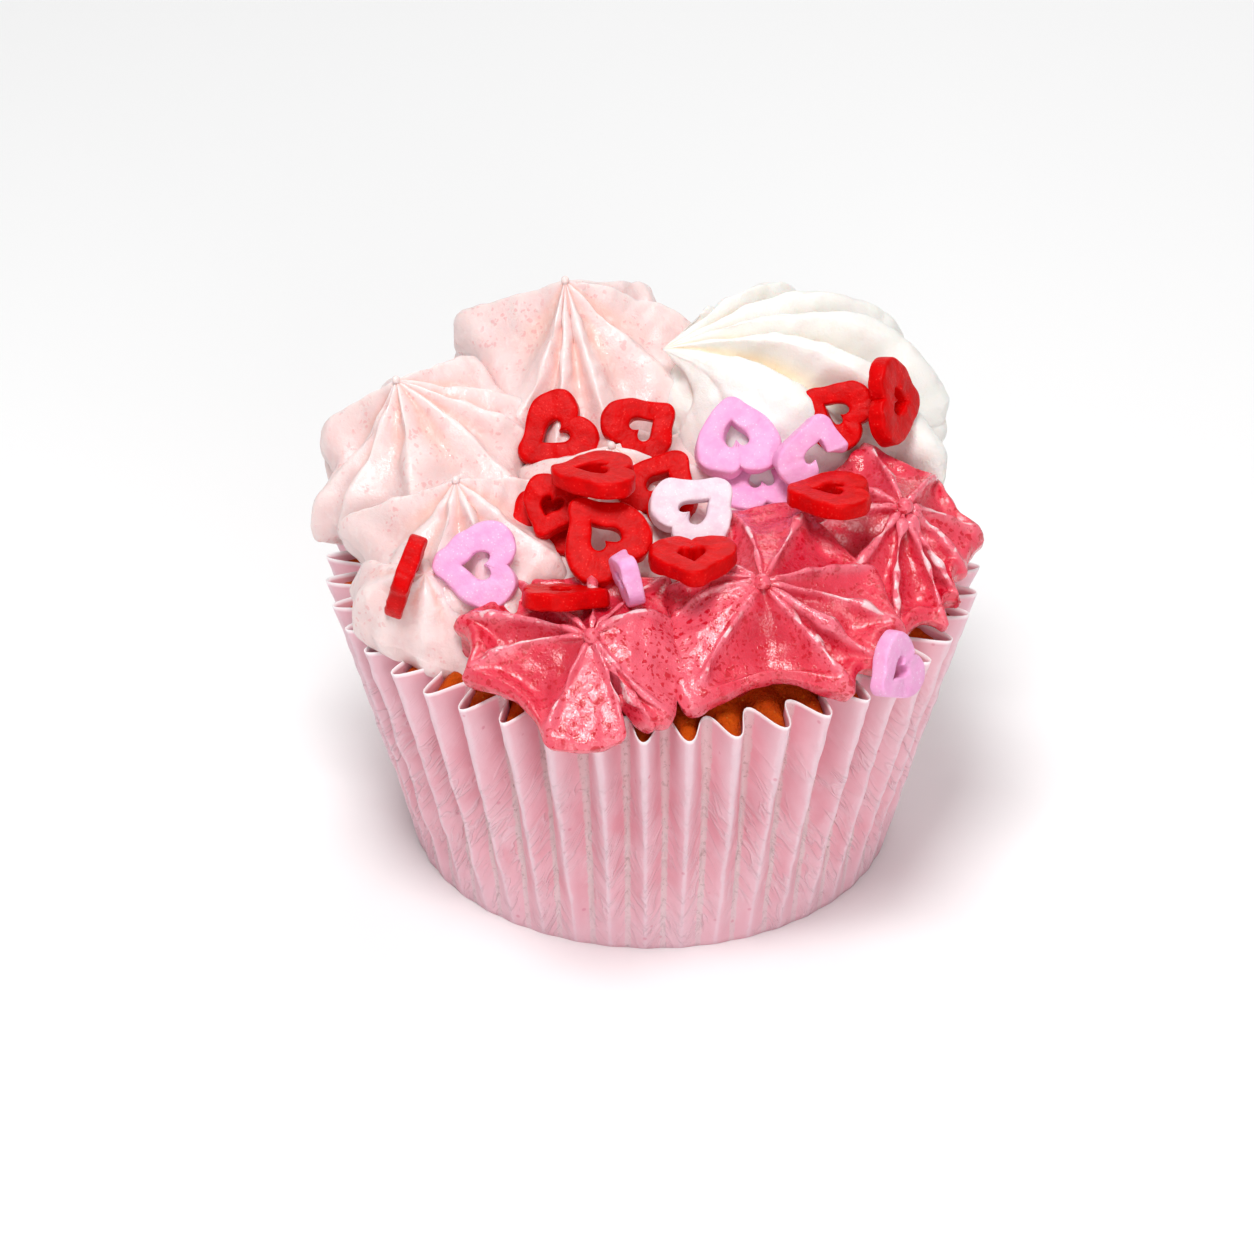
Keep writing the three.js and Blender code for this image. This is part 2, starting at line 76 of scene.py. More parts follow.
# Each dollop stands on its foot (x, y) and rises to its tip (x, y, z), in millimetres. A ridge is
# (azimuth, reach, height of its end, hollow after it, arch): azimuth in degrees about the foot,
# the hollow as a share pulled out of the face up to the next ridge, the arch in millimetres.
DEFAULT_HOLLOW = 0.2
DOLLOPS = {
    "icing_pale_back": dict(
        icing="pale", foot=(-7, 15), tip=(-9.1, 18.2, 54), arch=0.6, peak=1.3, seed=1,
        ridges=(
            (28, 13, 48), (60, 13.4, 48.6), (102, 13, 47), (150, 16.4, 47), (228, 12.5, 42),
            (256, 13.5, 41), (286, 13.5, 41), (340, 11.4, 44),
        )),
    "icing_white": dict(
        icing="white", foot=(15, 13), tip=(0.9, 12.5, 48.6), arch=3, peak=1.3, seed=2,
        ridges=(
            (2, 15.4, 43, 0.36, 6.4), (40, 15.6, 45, 0.32, 5.6), (84, 13.8, 47.2, 0.26, 4.6),
            (132, 14.2, 48, 0.14, 2), (176, 13.5, 45.6, 0.1, 0.4),
            (206, 13.8, 43, 0.02, 0.8), (234, 13, 42, 0.01, 2.6), (266, 12.6, 40.6, 0.42, 4.2),
            (326, 17, 39.4, 0.42, 7.2),
        )),
    "icing_pale_centre": dict(
        icing="pale", foot=(-3, -2), tip=(-4.2, 1, 44.4), arch=0.6, peak=1.5, seed=3,
        ridges=(
            (12, 16.4, 39.4), (52, 15, 41.2), (98, 13, 41.8), (150, 12.5, 40.4), (205, 14, 38.6),
            (246, 15, 37.2), (290, 13.4, 37), (330, 14.4, 38),
        )),
    "icing_pale_left": dict(
        icing="pale", foot=(-20, 6), tip=(-26.2, 7.4, 48.3), arch=1, peak=1.3, seed=4,
        ridges=(
            (20, 10, 43), (80, 13, 44.5), (125, 13, 42.5), (170, 14.4, 42.8), (195, 15.8, 35.8, 0.1),
            (212, 14, 38), (247, 12, 40), (313, 10.5, 39.5), (355, 8, 43),
        )),
    "icing_pale_low": dict(
        icing="pale", piping="spread", foot=(-21.5, -15), tip=(-22.5, -16.5, 39.5), arch=1.2,
        peak=1.5, seed=5,
        ridges=(
            (40, 9, 36, 0.1), (100, 10, 36, 0.1), (146, 10.4, 36.4, 0.1), (182, 8.6, 36.2, 0.14),
            (218, 6.6, 35.4, 0.16), (256, 5.6, 34.4, 0.1), (300, 7.6, 33, 0.06), (340, 9, 33.5, 0.1),
        )),
    "icing_pale_front": dict(
        icing="pale", foot=(-18, -9), tip=(-19.7, -6.9, 45), arch=0.8, peak=1.5, seed=6,
        ridges=(
            (45, 11, 41), (100, 8, 42), (160, 15.2, 39), (205, 11, 36, 0.1), (243, 11.5, 37.5),
            (290, 12.6, 37.4), (335, 11, 39),
        )),
    "icing_berry_right": dict(
        icing="berry", foot=(24, -7), tip=(25.3, -6, 42), arch=1.6, peak=1.8, seed=7,
        ridges=(
            (20, 10.6, 36.5), (62, 11.3, 39.6), (103, 12.5, 42), (150, 11, 40.5), (185, 9.5, 38.8),
            (232, 10, 35.6, 0.1), (272, 12, 33.4), (304, 10, 33.4), (325, 9.2, 34),
            (350, 7.6, 35.5, 0.05),
        )),
    "icing_berry_middle": dict(
        icing="berry", foot=(12.5, -20), tip=(10.8, -18.7, 40.9), arch=1.6, peak=1.8, seed=8,
        ridges=(
            (38, 13.4, 37.4), (80, 18, 39.8, 0.08), (109, 17, 39.6), (142, 13, 38),
            (163, 12.6, 37.6, 0.05), (182, 10.8, 37.4, 0), (206, 12.2, 35.6, 0),
            (230, 14.2, 33.4, 0.3), (315, 10.8, 33), (338, 12, 34), (2, 13, 35.4, 0.1),
        )),
    "icing_berry_front": dict(
        icing="berry", foot=(-7, -25), tip=(-5.95, -26, 39.2), arch=1.6, peak=1.8, seed=9,
        ridges=(
            (22, 9.8, 37.2, 0.1), (50, 14.4, 37.4), (88, 11.5, 38), (125, 14, 37), (160, 14, 36.6),
            (188, 12.4, 34.4), (250, 10.2, 32, 0), (278, 10, 31.8, 0), (297, 9.8, 32.8, 0.35),
            (311, 10.6, 33, 0.05), (320, 11.3, 33, 0), (352, 10.6, 35.6, 0),
        )),
}
LEAN_POWER = 1.5
BED = 1.2
BED_REACH, FULL_REACH = 0.78, 0.95
BED_RADIUS = 27.5
END_TUCK = 1.2
SIDE_RINGS, EDGE_RINGS, KNOB_RINGS = 14, 12, 12

# How each icing pipes: how far its ridges are softened near the tip and at the ends (in grid
# steps), the height and width of the bead along a crest and the radius of the tip's knob (in
# millimetres), how deep the table's hollows are taken, how much deeper they get towards the tip,
# how far they sink, and how far they lift the edge between two ridges' ends, the power that makes
# the ridges broad and the valleys narrow, or 0 for thin ridges and broad valleys, the power with
# which the faces fold over to one side, or 0 where they don't, how far a face bellies out between
# two folds, the radius over which a ridge rounds off at its end and how thick the edge under that
# is (in millimetres), and by what share the ends reach out further to make up for their softening.
PIPING = {
    "pale": dict(soft=1.2, soft_end=2.6, bead=0.1, bead_width=0.35, knob=0.42, hollow=1.0,
                 deepen=1.4, sink=4, lift=2, broad=1.25, fold=0, belly=0, round=2.2, edge=2.2,
                 grow=0.02),
    "spread": dict(soft=3.2, soft_end=4.2, bead=0, bead_width=0.5, knob=0, hollow=1.0,
                   deepen=1.1, sink=3, lift=2, broad=1.25, fold=0, belly=0.04, round=2.6, edge=2.4,
                   grow=0.05),
    "white": dict(soft=1.6, soft_end=2.6, bead=0.1, bead_width=0.9, knob=0, hollow=1,
                  deepen=1.25, sink=11, lift=2, broad=0, fold=5, belly=0.1, round=2.0, edge=2.4,
                  grow=0.02),
    "berry": dict(soft=0.7, soft_end=2.8, bead=0.42, bead_width=0.34, knob=0.85, hollow=0.95,
                  deepen=1.3, sink=6, lift=6, broad=0, fold=0, belly=0, round=0.9, edge=1.2,
                  grow=0.02),
}
RIDGE_BOW = 0.4

# ---------------------------------------------------------------- the sugar hearts

# Each heart: colour, the way its face looks as azimuth and tilt from straight up and then the way
# its point shows from the front (0 is to the right, 90 is up), all in degrees, and its size as a
# share of the hearts' width. Its middle is the middle of its frame node.
HEARTS = {
    "heart_red_front_edge": ("red", (90, 25, 0), 1),
    "heart_red_leaning": ("red", (-105, 42, 120), 1),
    "heart_red_tucked": ("red", (-100, 42, 250), 0.75),
    "heart_red_behind": ("red", (-105, 40, 60), 0.95),
    "heart_red_large": ("red", (-88, 40, 130), 1.05),
    "heart_blush": ("blush", (-80, 38, 40), 1),
    "heart_red_flat": ("red", (120, 6, 270), 1),
    "heart_pink_on_end": ("pink", (20, 80, 90), 0.6),
    "heart_red_lying": ("red", (90, 8, 180), 1),
    "heart_red_back_left": ("red", (-95, 46, 215), 0.95),
    "heart_red_back_right": ("red", (-85, 46, 35), 0.9),
    "heart_pink_low": ("pink", (-90, 22, 100), 0.95),
    "heart_pink_back": ("pink", (-85, 38, 100), 1),
    "heart_red_arch": ("red", (-100, 50, 150), 0.85),
    "heart_pink_broken": ("pink", (-80, 58, 85), 0.9),
    "heart_red_right_edge": ("red", (90, 8, 180), 1),
    "heart_red_upright": ("red", (-25, 72, 0), 1),
    "heart_red_left_edge": ("red", (170, 74, 255), 0.95),
    "heart_pink_left": ("pink", (-95, 50, 180), 1),
    "heart_pink_rim": ("pink", (-36, 74, 230), 0.8),
}
LOOK_DOWN = 33                 # degrees by which the look from the front points down
BROKEN_HEART = "heart_pink_broken"
HEART_BREAK = 1.42             # half turns round the curve at which the broken heart stops
HEART_SPAN, HEART_RISE = 32, 2.4    # of the heart curve in its own units: width, lift to its middle
NODE_STEPS, NODE_HOLE = 16, 0.4     # corners of a frame node's outline, its hole's share of it
HEART_RINGS, HEART_COLUMNS = 96, 28
HEART_PLUMP, HEART_SQUARE = 0.15, 0.3
X, Y, Z = range(3)

# ---------------------------------------------------------------- settings


def colour_setting(name, default, description):
    return FloatVectorProperty(
        name=name, description=description, default=default, subtype="COLOR", size=3, min=0, max=1)


def length_setting(name, default, description):
    return FloatProperty(name=name, description=description, default=default * MM, unit="LENGTH")


class CaseSettings(bpy.types.PropertyGroup):
    """Sizes and colours of the paper case."""

    pleats: IntProperty(
        name="Pleats", description="Folds round the case", default=44, min=8, max=96)
    floor_radius: length_setting("Floor radius", 25, "Radius of the floor, over the folds")
    rim_depth: length_setting(
        "Pleat depth at the rim", 4.75, "From the outward to the inward folds")
    paper: length_setting("Paper", 0.1, "Thickness of the paper")
    colour: colour_setting("Colour", (0.90, 0.47, 0.54), "Colour of the paper's faces")
    # Painted highlight: the pale colour laid along the crest of each outward fold.
    fold_highlight_colour: colour_setting("Folds", (0.93, 0.64, 0.71), "Colour rubbed onto the outward folds")
    shade_colour: colour_setting("Shade", (0.85, 0.36, 0.43), "Colour of its rosier patches")


class CakeSettings(bpy.types.PropertyGroup):
    """Sizes and colours of the sponge."""

    edge: length_setting("Edge height", 30.1, "Where the baked side turns into the dome")
    dome: length_setting("Dome", 5.7, "Rise of the dome above its edge")
    colour: colour_setting("Crust", (0.64, 0.088, 0.002), "Colour of the golden crust")
    dark_colour: colour_setting("Dark crust", (0.42, 0.042, 0.001), "Colour of the browner patches")


class IcingSettings(bpy.types.PropertyGroup):
    """How finely the dollops are shaped, and the colours of the three icings."""

    steps: IntProperty(
        name="Steps", description="Points between two neighbouring ridges", default=20, min=4, max=40)
    rings: IntProperty(
        name="Rings", description="Rings from the end of the ridges to the tip",
        default=78, min=12, max=200)
    pale: colour_setting("Pale icing", (0.86, 0.64, 0.625), "Body colour of the pale icing")
    white: colour_setting("White icing", (0.88, 0.86, 0.82), "Body colour of the white icing")
    berry: colour_setting("Berry icing", (0.77, 0.037, 0.075), "Body colour of the berry icing")


class HeartSettings(bpy.types.PropertyGroup):
    """Sizes and colours of the sugar hearts."""

    width: length_setting("Width", 9, "Width of a whole heart")
    thickness: length_setting("Thickness", 2, "Thickness of a heart")
    hole: FloatProperty(
        name="Hole", description="Size of the hole as a share of the outline",
        default=0.3, min=0.1, max=0.8, subtype="FACTOR")
    red: colour_setting("Red", (0.69, 0.0, 0.0008), "Colour of the red hearts")
    pink: colour_setting("Pink", (0.90, 0.43, 0.70), "Colour of the pink hearts")
    blush: colour_setting("Blush", (0.88, 0.72, 0.79), "Colour of the blush heart")


class StageSettings(bpy.types.PropertyGroup):
    """The floor and the lights."""

    floor_colour: colour_setting("Floor", (0.93, 0.93, 0.93), "Colour of the floor")
    key_power: FloatProperty(
        name="Key light", description="Power of the large soft light above", default=2.0, min=0)
    fill_power: FloatProperty(
        name="Fill light", description="Power of the soft light in front", default=0.65, min=0)
    sky: FloatProperty(
        name="Surround", description="Strength of the even white surround", default=0.38, min=0)


# ---------------------------------------------------------------- mesh building


def lerp(a, b, share):
    return a + (b - a) * share


def smooth(values, low, high):
    """A soft step: 0 below low, 1 above high, and 3s^2 - 2s^3 of the share s between them."""
    share = np.clip((values - low) / (high - low), 0, 1)
    return share * share * (3 - 2 * share)


def ripples(points, size, seed, waves=14):
    """Smooth bumps in space, between about -1 and 1: the sum of sine waves of random direction and
    phase, with wavelengths from 0.6 to 1.6 times size."""
    random = np.random.default_rng(seed)
    direction = random.normal(size=(waves, 3))
    direction /= np.linalg.norm(direction, axis=1, keepdims=True)
    wave = 2 * math.pi / (size * random.uniform(0.6, 1.6, waves))
    phase = random.uniform(0, 2 * math.pi, waves)
    total = np.sin(points @ (direction * wave[:, None]).T + phase).sum(axis=-1)
    return total / math.sqrt(waves)


def quads_between(rings, columns, closed_rings):
    """Corner numbers of the quads of a grid that closes round its columns, and also from its last
    ring to its first where closed_rings is true."""
    count = rings if closed_rings else rings - 1
    ring, column = np.meshgrid(np.arange(count), np.arange(columns), indexing="ij")
    after, beside = (ring + 1) % rings, (column + 1) % columns
    corners = [ring * columns + column, ring * columns + beside,
               after * columns + beside, after * columns + column]
    return np.stack(corners, axis=-1).reshape(-1, 4)


def fan(pole, first, columns, outward_up):
    """Triangles from a pole to the ring whose points start at first."""
    here = first + np.arange(columns)
    beside = first + (np.arange(columns) + 1) % columns
    poles = np.full(columns, pole)
    order = (poles, here, beside) if outward_up else (poles, beside, here)
    return np.stack(order, axis=-1)


def mesh_piece(name, points, faces, attributes):
    """A mesh object from points in millimetres, groups of faces of equal length and point values."""
    mesh = bpy.data.meshes.new(name)
    corners = np.concatenate([group.ravel() for group in faces]).astype(np.int32)
    totals = np.concatenate([np.full(len(group), group.shape[1]) for group in faces])
    starts = np.concatenate([[0], np.cumsum(totals)[:-1]]).astype(np.int32)
    mesh.vertices.add(len(points))
    mesh.vertices.foreach_set("co", (points * MM).astype(np.float32).ravel())
    mesh.loops.add(len(corners))
    mesh.loops.foreach_set("vertex_index", corners)
    mesh.polygons.add(len(starts))
    mesh.polygons.foreach_set("loop_start", starts)
    mesh.polygons.foreach_set("use_smooth", np.ones(len(starts), dtype=bool))
    mesh.update(calc_edges=True)
    for key, values in attributes.items():
        layer = mesh.attributes.new(key, "FLOAT", "POINT")
        layer.data.foreach_set("value", values.astype(np.float32).ravel())
    if mesh.validate():
        raise ValueError(name + " has faces that don't fit together")
    piece = bpy.data.objects.new(name, mesh)
    bpy.context.scene.collection.objects.link(piece)
    return piece


def ringed_piece(name, grid, attributes, poles=None):
    """A closed piece from a grid (rings, columns, 3), with a pole (bottom, top) beyond each end, or
    joined from its last ring to its first where it has no poles."""
    rings, columns = grid.shape[:2]
    points = grid.reshape(-1, 3)
    values = {key: value.reshape(-1) for key, value in attributes.items()}
    faces = [quads_between(rings, columns, poles is None)]
    if poles is not None:
        bottom, top = len(points), len(points) + 1
        points = np.vstack([points, poles])
        values = {
            key: np.concatenate([value, [value[:columns].mean(), value[-columns:].mean()]])
            for key, value in values.items()}
        faces.append(fan(bottom, 0, columns, False))
        faces.append(fan(top, (rings - 1) * columns, columns, True))
    return mesh_piece(name, points, faces, values)


# ---------------------------------------------------------------- materials


class Shader:
    """A node material built a node at a time. A value given to a node is a number, a colour or the
    output socket of another node."""

    def __init__(self, name):
        self.material = bpy.data.materials.new(name)
        self.material.use_nodes = True
        self.nodes = self.material.node_tree.nodes
        self.links = self.material.node_tree.links
        self.surface = self.nodes["Principled BSDF"]
        self.place = self.nodes.new("ShaderNodeTexCoord").outputs["Object"]

    def feed(self, socket, value):
        if isinstance(value, bpy.types.NodeSocket):
            self.links.new(value, socket)
        elif isinstance(value, tuple) and len(value) == 3 and socket.type == "RGBA":
            socket.default_value = (*value, 1)
        else:
            socket.default_value = value

    def set(self, **values):
        for name, value in values.items():
            label = name.replace("_", " ").title().replace("Ior", "IOR")
            self.feed(self.surface.inputs[label], value)

    def add(self, kind, output, inputs, **properties):
        """Adds a node with its properties and inputs and returns one of its output sockets."""
        node = self.nodes.new("ShaderNode" + kind)
        for name, value in properties.items():
            setattr(node, name, value)
        for name, value in inputs.items():
            self.feed(node.inputs[name], value)
        return node.outputs[output]

    def noise(self, scale, detail=3.0, roughness=0.5, distortion=0.0, place=None, output="Fac"):
        return self.add("TexNoise", output, {
            "Vector": place or self.place, "Scale": scale, "Detail": detail,
            "Roughness": roughness, "Distortion": distortion})

    def cells(self, scale, place=None):
        """Distance from the nearest of many scattered points."""
        return self.add("TexVoronoi", "Distance", {"Vector": place or self.place, "Scale": scale})

    def shaken(self, scale, amount):
        """Object coordinates that wander by up to about half the amount."""
        wander = self.noise(scale, 2.0, output="Color")
        return self.add("VectorMath", "Vector", {0: wander, 1: (amount,) * 3, 2: self.place},
                        operation="MULTIPLY_ADD")

    def attribute(self, name):
        return self.add("Attribute", "Fac", {}, attribute_name=name)

    def step(self, value, low, high):
        """0 below low, 1 above high and a soft rise between them, or the reverse if high < low."""
        rising = low < high
        return self.add("MapRange", "Result", {
            "Value": value, "From Min": min(low, high), "From Max": max(low, high),
            "To Min": 0 if rising else 1, "To Max": 1 if rising else 0},
            interpolation_type="SMOOTHSTEP")

    def range(self, value, low, high):
        """The value 0..1 spread from low to high."""
        return self.add("MapRange", "Result", {"Value": value, "To Min": low, "To Max": high})

    def maths(self, operation, a, b=0.0):
        return self.add("Math", "Value", {0: a, 1: b}, operation=operation)

    def times(self, a, b):
        return self.maths("MULTIPLY", a, b)

    def mix(self, share, a, b):
        return self.add("Mix", "Result", {"Factor": share, "A": a, "B": b}, data_type="RGBA")

    def tint(self, body, share, strength, colour):
        """The body colour with another laid over it, as strong as the share times the strength."""
        return self.mix(self.times(share, strength), body, colour)

    def stretched(self, *scale):
        return self.add("Mapping", "Vector", {"Vector": self.place, "Scale": scale})

    def round_case(self, down, round_scale, down_scale):
        """Coordinates on a cylinder: the point's direction from the axis, and a value for height."""
        return self.add("CombineXYZ", "Vector", {
            "X": self.times(self.attribute("east"), round_scale),
            "Y": self.times(self.attribute("north"), round_scale),
            "Z": self.times(down, down_scale)})

    def bump(self, height, distance, strength=1.0, under=None):
        inputs = {"Height": height, "Distance": distance, "Strength": strength}
        if under is not None:
            inputs["Normal"] = under
        return self.add("Bump", "Normal", inputs)


def paper_material(settings):
    """Greaseproof paper: rose faces, painted highlights along and beside the outward folds and near
    the rim, a mottled greasy line along the inward folds, fine crumples and a white line painted as
    the highlight on the cut edge at the rim."""
    shader = Shader("pink_greaseproof_paper")
    fold, height, slant = (shader.attribute(name) for name in ("fold", "height", "slant"))
    cloud = shader.noise(150, 4, 0.6)
    creases = shader.noise(1, 2, 0.6, 0.6, shader.round_case(slant, 11, 15))
    patches = shader.noise(1, 2, 0.5, 0.0, shader.round_case(height, 8, 4))
    crumpled = shader.times(shader.step(patches, 0.3, 0.55), shader.step(height, 0.95, 0.6))
    lines = shader.maths("ABSOLUTE", shader.maths("SUBTRACT", creases, 0.5))
    lines = shader.times(shader.step(lines, 0.05, 0.0), crumpled)
    creases = shader.times(creases, crumpled)
    body = shader.mix(shader.step(cloud, 0.35, 0.68), tuple(settings.shade_colour),
                      tuple(settings.colour))
    body = shader.tint(body, shader.step(creases, 0.38, 0.6), 0.3, (0.93, 0.60, 0.67))
    body = shader.tint(body, lines, 0.35, (0.95, 0.68, 0.74))
    # Painted highlight: a broad paler tint on the outward folds towards the rim.
    painted_rim_highlight = shader.times(shader.step(height, 0.45, 0.95), shader.step(fold, 0.1, 0.75))
    body = shader.tint(body, painted_rim_highlight, 0.4, (0.90, 0.62, 0.68))
    ragged = shader.times(shader.maths("SUBTRACT", shader.noise(900, 4, 0.7), 0.5), 0.2)
    ragged = shader.maths("ADD", fold, ragged)
    band = shader.step(ragged, 0.16, 0.09)
    body = shader.tint(body, band, 0.6, (0.80, 0.65, 0.64))
    dots = shader.times(band, shader.step(shader.noise(1700, 5, 0.75), 0.54, 0.64))
    body = shader.tint(body, dots, 0.55, (0.46, 0.24, 0.24))
    # Painted highlight: a paler tint spread over the outward folds.
    body = shader.tint(body, shader.step(fold, 0.6, 1.0), 0.4, (0.92, 0.58, 0.66))
    # Painted highlight: a ragged pale streak along the crest of each outward fold.
    crest = shader.times(shader.step(ragged, 0.88, 0.98),
                         shader.range(shader.noise(230, 3), 0.4, 1.0))
    body = shader.mix(crest, body, tuple(settings.fold_highlight_colour))
    body = shader.tint(body, shader.step(height, 0.3, 0.0), 0.5, (0.86, 0.52, 0.60))
    body = shader.tint(body, shader.step(shader.cells(330), 0.1, 0.04), 0.5, (0.70, 0.16, 0.25))
    # Painted highlight: the white line along the cut edge at the rim.
    body = shader.mix(shader.attribute("rim"), body, (0.96, 0.90, 0.92))
    crumple = shader.bump(creases, 0.0004, 0.7)
    crumple = shader.bump(lines, 0.0002, 0.6, crumple)
    crumple = shader.bump(shader.noise(700, 4, 0.6), 0.00016, 0.4, crumple)
    shader.set(base_color=body, roughness=shader.range(cloud, 0.45, 0.62), normal=crumple,
               subsurface_weight=0.2, subsurface_radius=(1.0, 0.5, 0.55), subsurface_scale=0.0008)
    return shader.material


def cake_material(settings):
    """Golden sponge crust: browner patches, painted glints as small pale spots on the moist crumbs,
    and fine pores.
    """
    shader = Shader("golden_sponge")
    patch = shader.noise(140, 4, 0.6)
    pores = shader.noise(1300, 5, 0.65)
    body = shader.mix(shader.step(patch, 0.35, 0.65), tuple(settings.dark_colour),
                      tuple(settings.colour))
    body = shader.tint(body, shader.step(pores, 0.56, 0.74), 0.5, (0.72, 0.16, 0.006))
    # Painted glints: small pale spots where the moist crumbs would catch the light.
    body = shader.tint(body, shader.step(shader.cells(1100), 0.16, 0.06), 0.35, (0.88, 0.42, 0.08))
    relief = shader.bump(pores, 0.0008, 0.9)
    relief = shader.bump(shader.cells(700), 0.0005, 0.5, relief)
    shader.set(base_color=body, roughness=shader.range(pores, 0.3, 0.6), normal=relief,
               specular_ior_level=0.1)
    return shader.material


def icing_material(name, body, valley, crest, fleck, fleck_share, sparse, mottle, gloss, scatter,
                   depth, film):
    """Buttercream: a soft translucent body with painted shade in its valleys as a deeper colour,
    painted highlights as a paler colour towards and along its crests and broken pale lines painted as
    wet highlights on them, paler mottling, flecks of fruit of three sizes, fewer where sparse is
    higher, faint drag marks and a wet film."""
    shader = Shader(name)
    hollow = shader.attribute("valley")
    cloud = shader.noise(210, 3, 0.5)
    along = shader.attribute("along")
    # Painted shade: a deeper, warmer valley colour laid into the hollows, most towards the tip.
    deep = shader.times(shader.step(hollow, 0.35, 1.0), shader.range(cloud, 0.3, 1.0))
    colour = shader.mix(shader.times(deep, shader.step(along, 0.85, 0.35)), body, valley)
    # Painted highlight: the paler crest colour laid over the faces towards the ridges.
    colour = shader.tint(colour, shader.step(hollow, 0.55, 0.0), 0.3, crest)
    light = shader.step(shader.noise(900, 4, 0.65, 0.4), 0.5, 0.7)
    colour = shader.tint(colour, light, mottle, crest)
    smears = shader.step(shader.noise(1, 3, 0.6, 0.5, shader.stretched(420, 420, 120)), 0.5, 0.72)
    colour = shader.tint(colour, smears, fleck_share * 0.35, fleck)
    torn = shader.shaken(1300, 0.0011)
    flecks = 0.0
    for scale, outer, inner, patches, low, high in (
            (1700, 0.34, 0.26, shader.noise(400, 1), 0.42, 0.5),
            (1000, 0.3, 0.24, shader.noise(150, 2), 0.38, 0.46),
            (540, 0.25, 0.19, shader.noise(130, 2), 0.46, 0.52)):
        spots = shader.times(shader.step(shader.cells(scale, torn), outer, inner),
                             shader.step(patches, low + sparse, high + sparse))
        flecks = shader.maths("MAXIMUM", spots, flecks)
    flecks = shader.times(flecks, fleck_share)
    colour = shader.mix(flecks, colour, fleck)
    # Painted highlight: the paler crest colour laid along the bead of each crest.
    ridge = shader.attribute("crest")
    colour = shader.tint(colour, ridge, 0.3, crest)
    # Painted wet highlights: broken pale lines along the crests, away from the tip.
    broken = shader.times(shader.step(ridge, 0.88, 0.99),
                          shader.step(shader.noise(520, 3), 0.5, 0.58))
    broken = shader.times(broken, shader.step(along, 0.2, 0.4))
    colour = shader.tint(colour, broken, film, (0.95, 0.72, 0.74))
    drag = shader.noise(1, 4, 0.6, 0.3, shader.stretched(700, 700, 260))
    relief = shader.bump(cloud, 0.0006, 0.25)
    relief = shader.bump(drag, 0.00025, 0.4, relief)
    relief = shader.bump(shader.noise(2300, 3, 0.6), 0.0001, 0.6, relief)
    relief = shader.bump(shader.noise(5200, 2), 0.00005, 0.8, relief)
    relief = shader.bump(flecks, 0.0001, 0.3, relief)
    shader.set(base_color=colour, roughness=shader.range(drag, gloss, gloss + 0.25), normal=relief,
               subsurface_weight=scatter, subsurface_radius=(1.0, 0.5, 0.4),
               subsurface_scale=depth, coat_weight=film, coat_roughness=0.08, coat_normal=relief)
    return shader.material


def heart_material(name, body, light, dark, gloss):
    """Pressed sugar: a grainy, cloudy body with lighter spots, partly paler sugar grains and partly
    painted glints for their sparkle.
    """
    shader = Shader(name)
    grain = shader.noise(2600, 4, 0.7)
    cloud = shader.noise(700, 4, 0.6)
    colour = shader.mix(shader.step(cloud, 0.35, 0.62), dark, body)
    # Lighter spots in the light colour: partly paler sugar grains, partly painted glints where the
    # grains would sparkle.
    grains_and_glints = shader.times(shader.step(shader.cells(2800), 0.28, 0.12),
                           shader.step(shader.noise(700, 2), 0.38, 0.6))
    colour = shader.tint(colour, grains_and_glints, 0.65, light)
    relief = shader.bump(grain, 0.00014, 0.5)
    relief = shader.bump(cloud, 0.0004, 0.2, relief)
    shader.set(base_color=colour, roughness=shader.range(grain, 0.2, 0.45), normal=relief,
               specular_ior_level=gloss)
    return shader.material


def floor_material(colour):
    shader = Shader("pale_floor")
    shader.set(base_color=colour, roughness=0.85)
    return shader.material


def dress(piece, material, slot, *nodes):
    """Gives a piece its material, hangs it under the root and hides the frame nodes it stands for.
    The slot is not used.
    """
    piece.data.materials.append(material)
    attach(piece, "root")
    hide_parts(*nodes)
    return piece


# ---------------------------------------------------------------- paper case and sponge


def pleat_angle(settings, turns):
    """The direction that lies so many pleats round the case."""
    return math.radians(FIRST_FOLD) + turns * 2 * math.pi / settings.pleats


def case_wall(settings, turns, share):
    """Radius of the paper's outer face, its fold, which is 1 on an outward fold and 0 on an inward
    one, and its direction from the axis.

    turns counts pleats round the case, and share is that of its height. Over the folds the radius
    grows evenly from the floor to the rim, and a wave takes off up to the pleats' depth: a cosine
    at the rim, which turns towards straight faces with a crease between them lower down. Each
    pleat leans, bows and is shallower by its own small amount."""
    own = np.random.default_rng(11).normal(0, 1, (3, settings.pleats))
    number = np.floor(turns).astype(int) % settings.pleats
    following = (number + 1) % settings.pleats
    lean, bow, less = lerp(own[:, number], own[:, following], turns - np.floor(turns))
    shift = 0.04 * lean * share + 0.035 * bow * np.sin(math.pi * share)
    wave = (1 + np.cos(2 * math.pi * turns)) / 2
    wave = lerp(wave, smooth(wave, 0, 1), 0.35)
    creased = 1 - 2 * np.abs(turns - np.round(turns))
    fold = lerp(wave, creased, 0.65 * (1 - smooth(share, 0.45, 0.95)))
    over = lerp(settings.floor_radius / MM, RIM_RADIUS, share)
    depth = lerp(FLOOR_DEPTH, settings.rim_depth / MM, share) * (1 - 0.06 * np.abs(less))
    return over - depth * (1 - fold), fold, pleat_angle(settings, turns - shift)


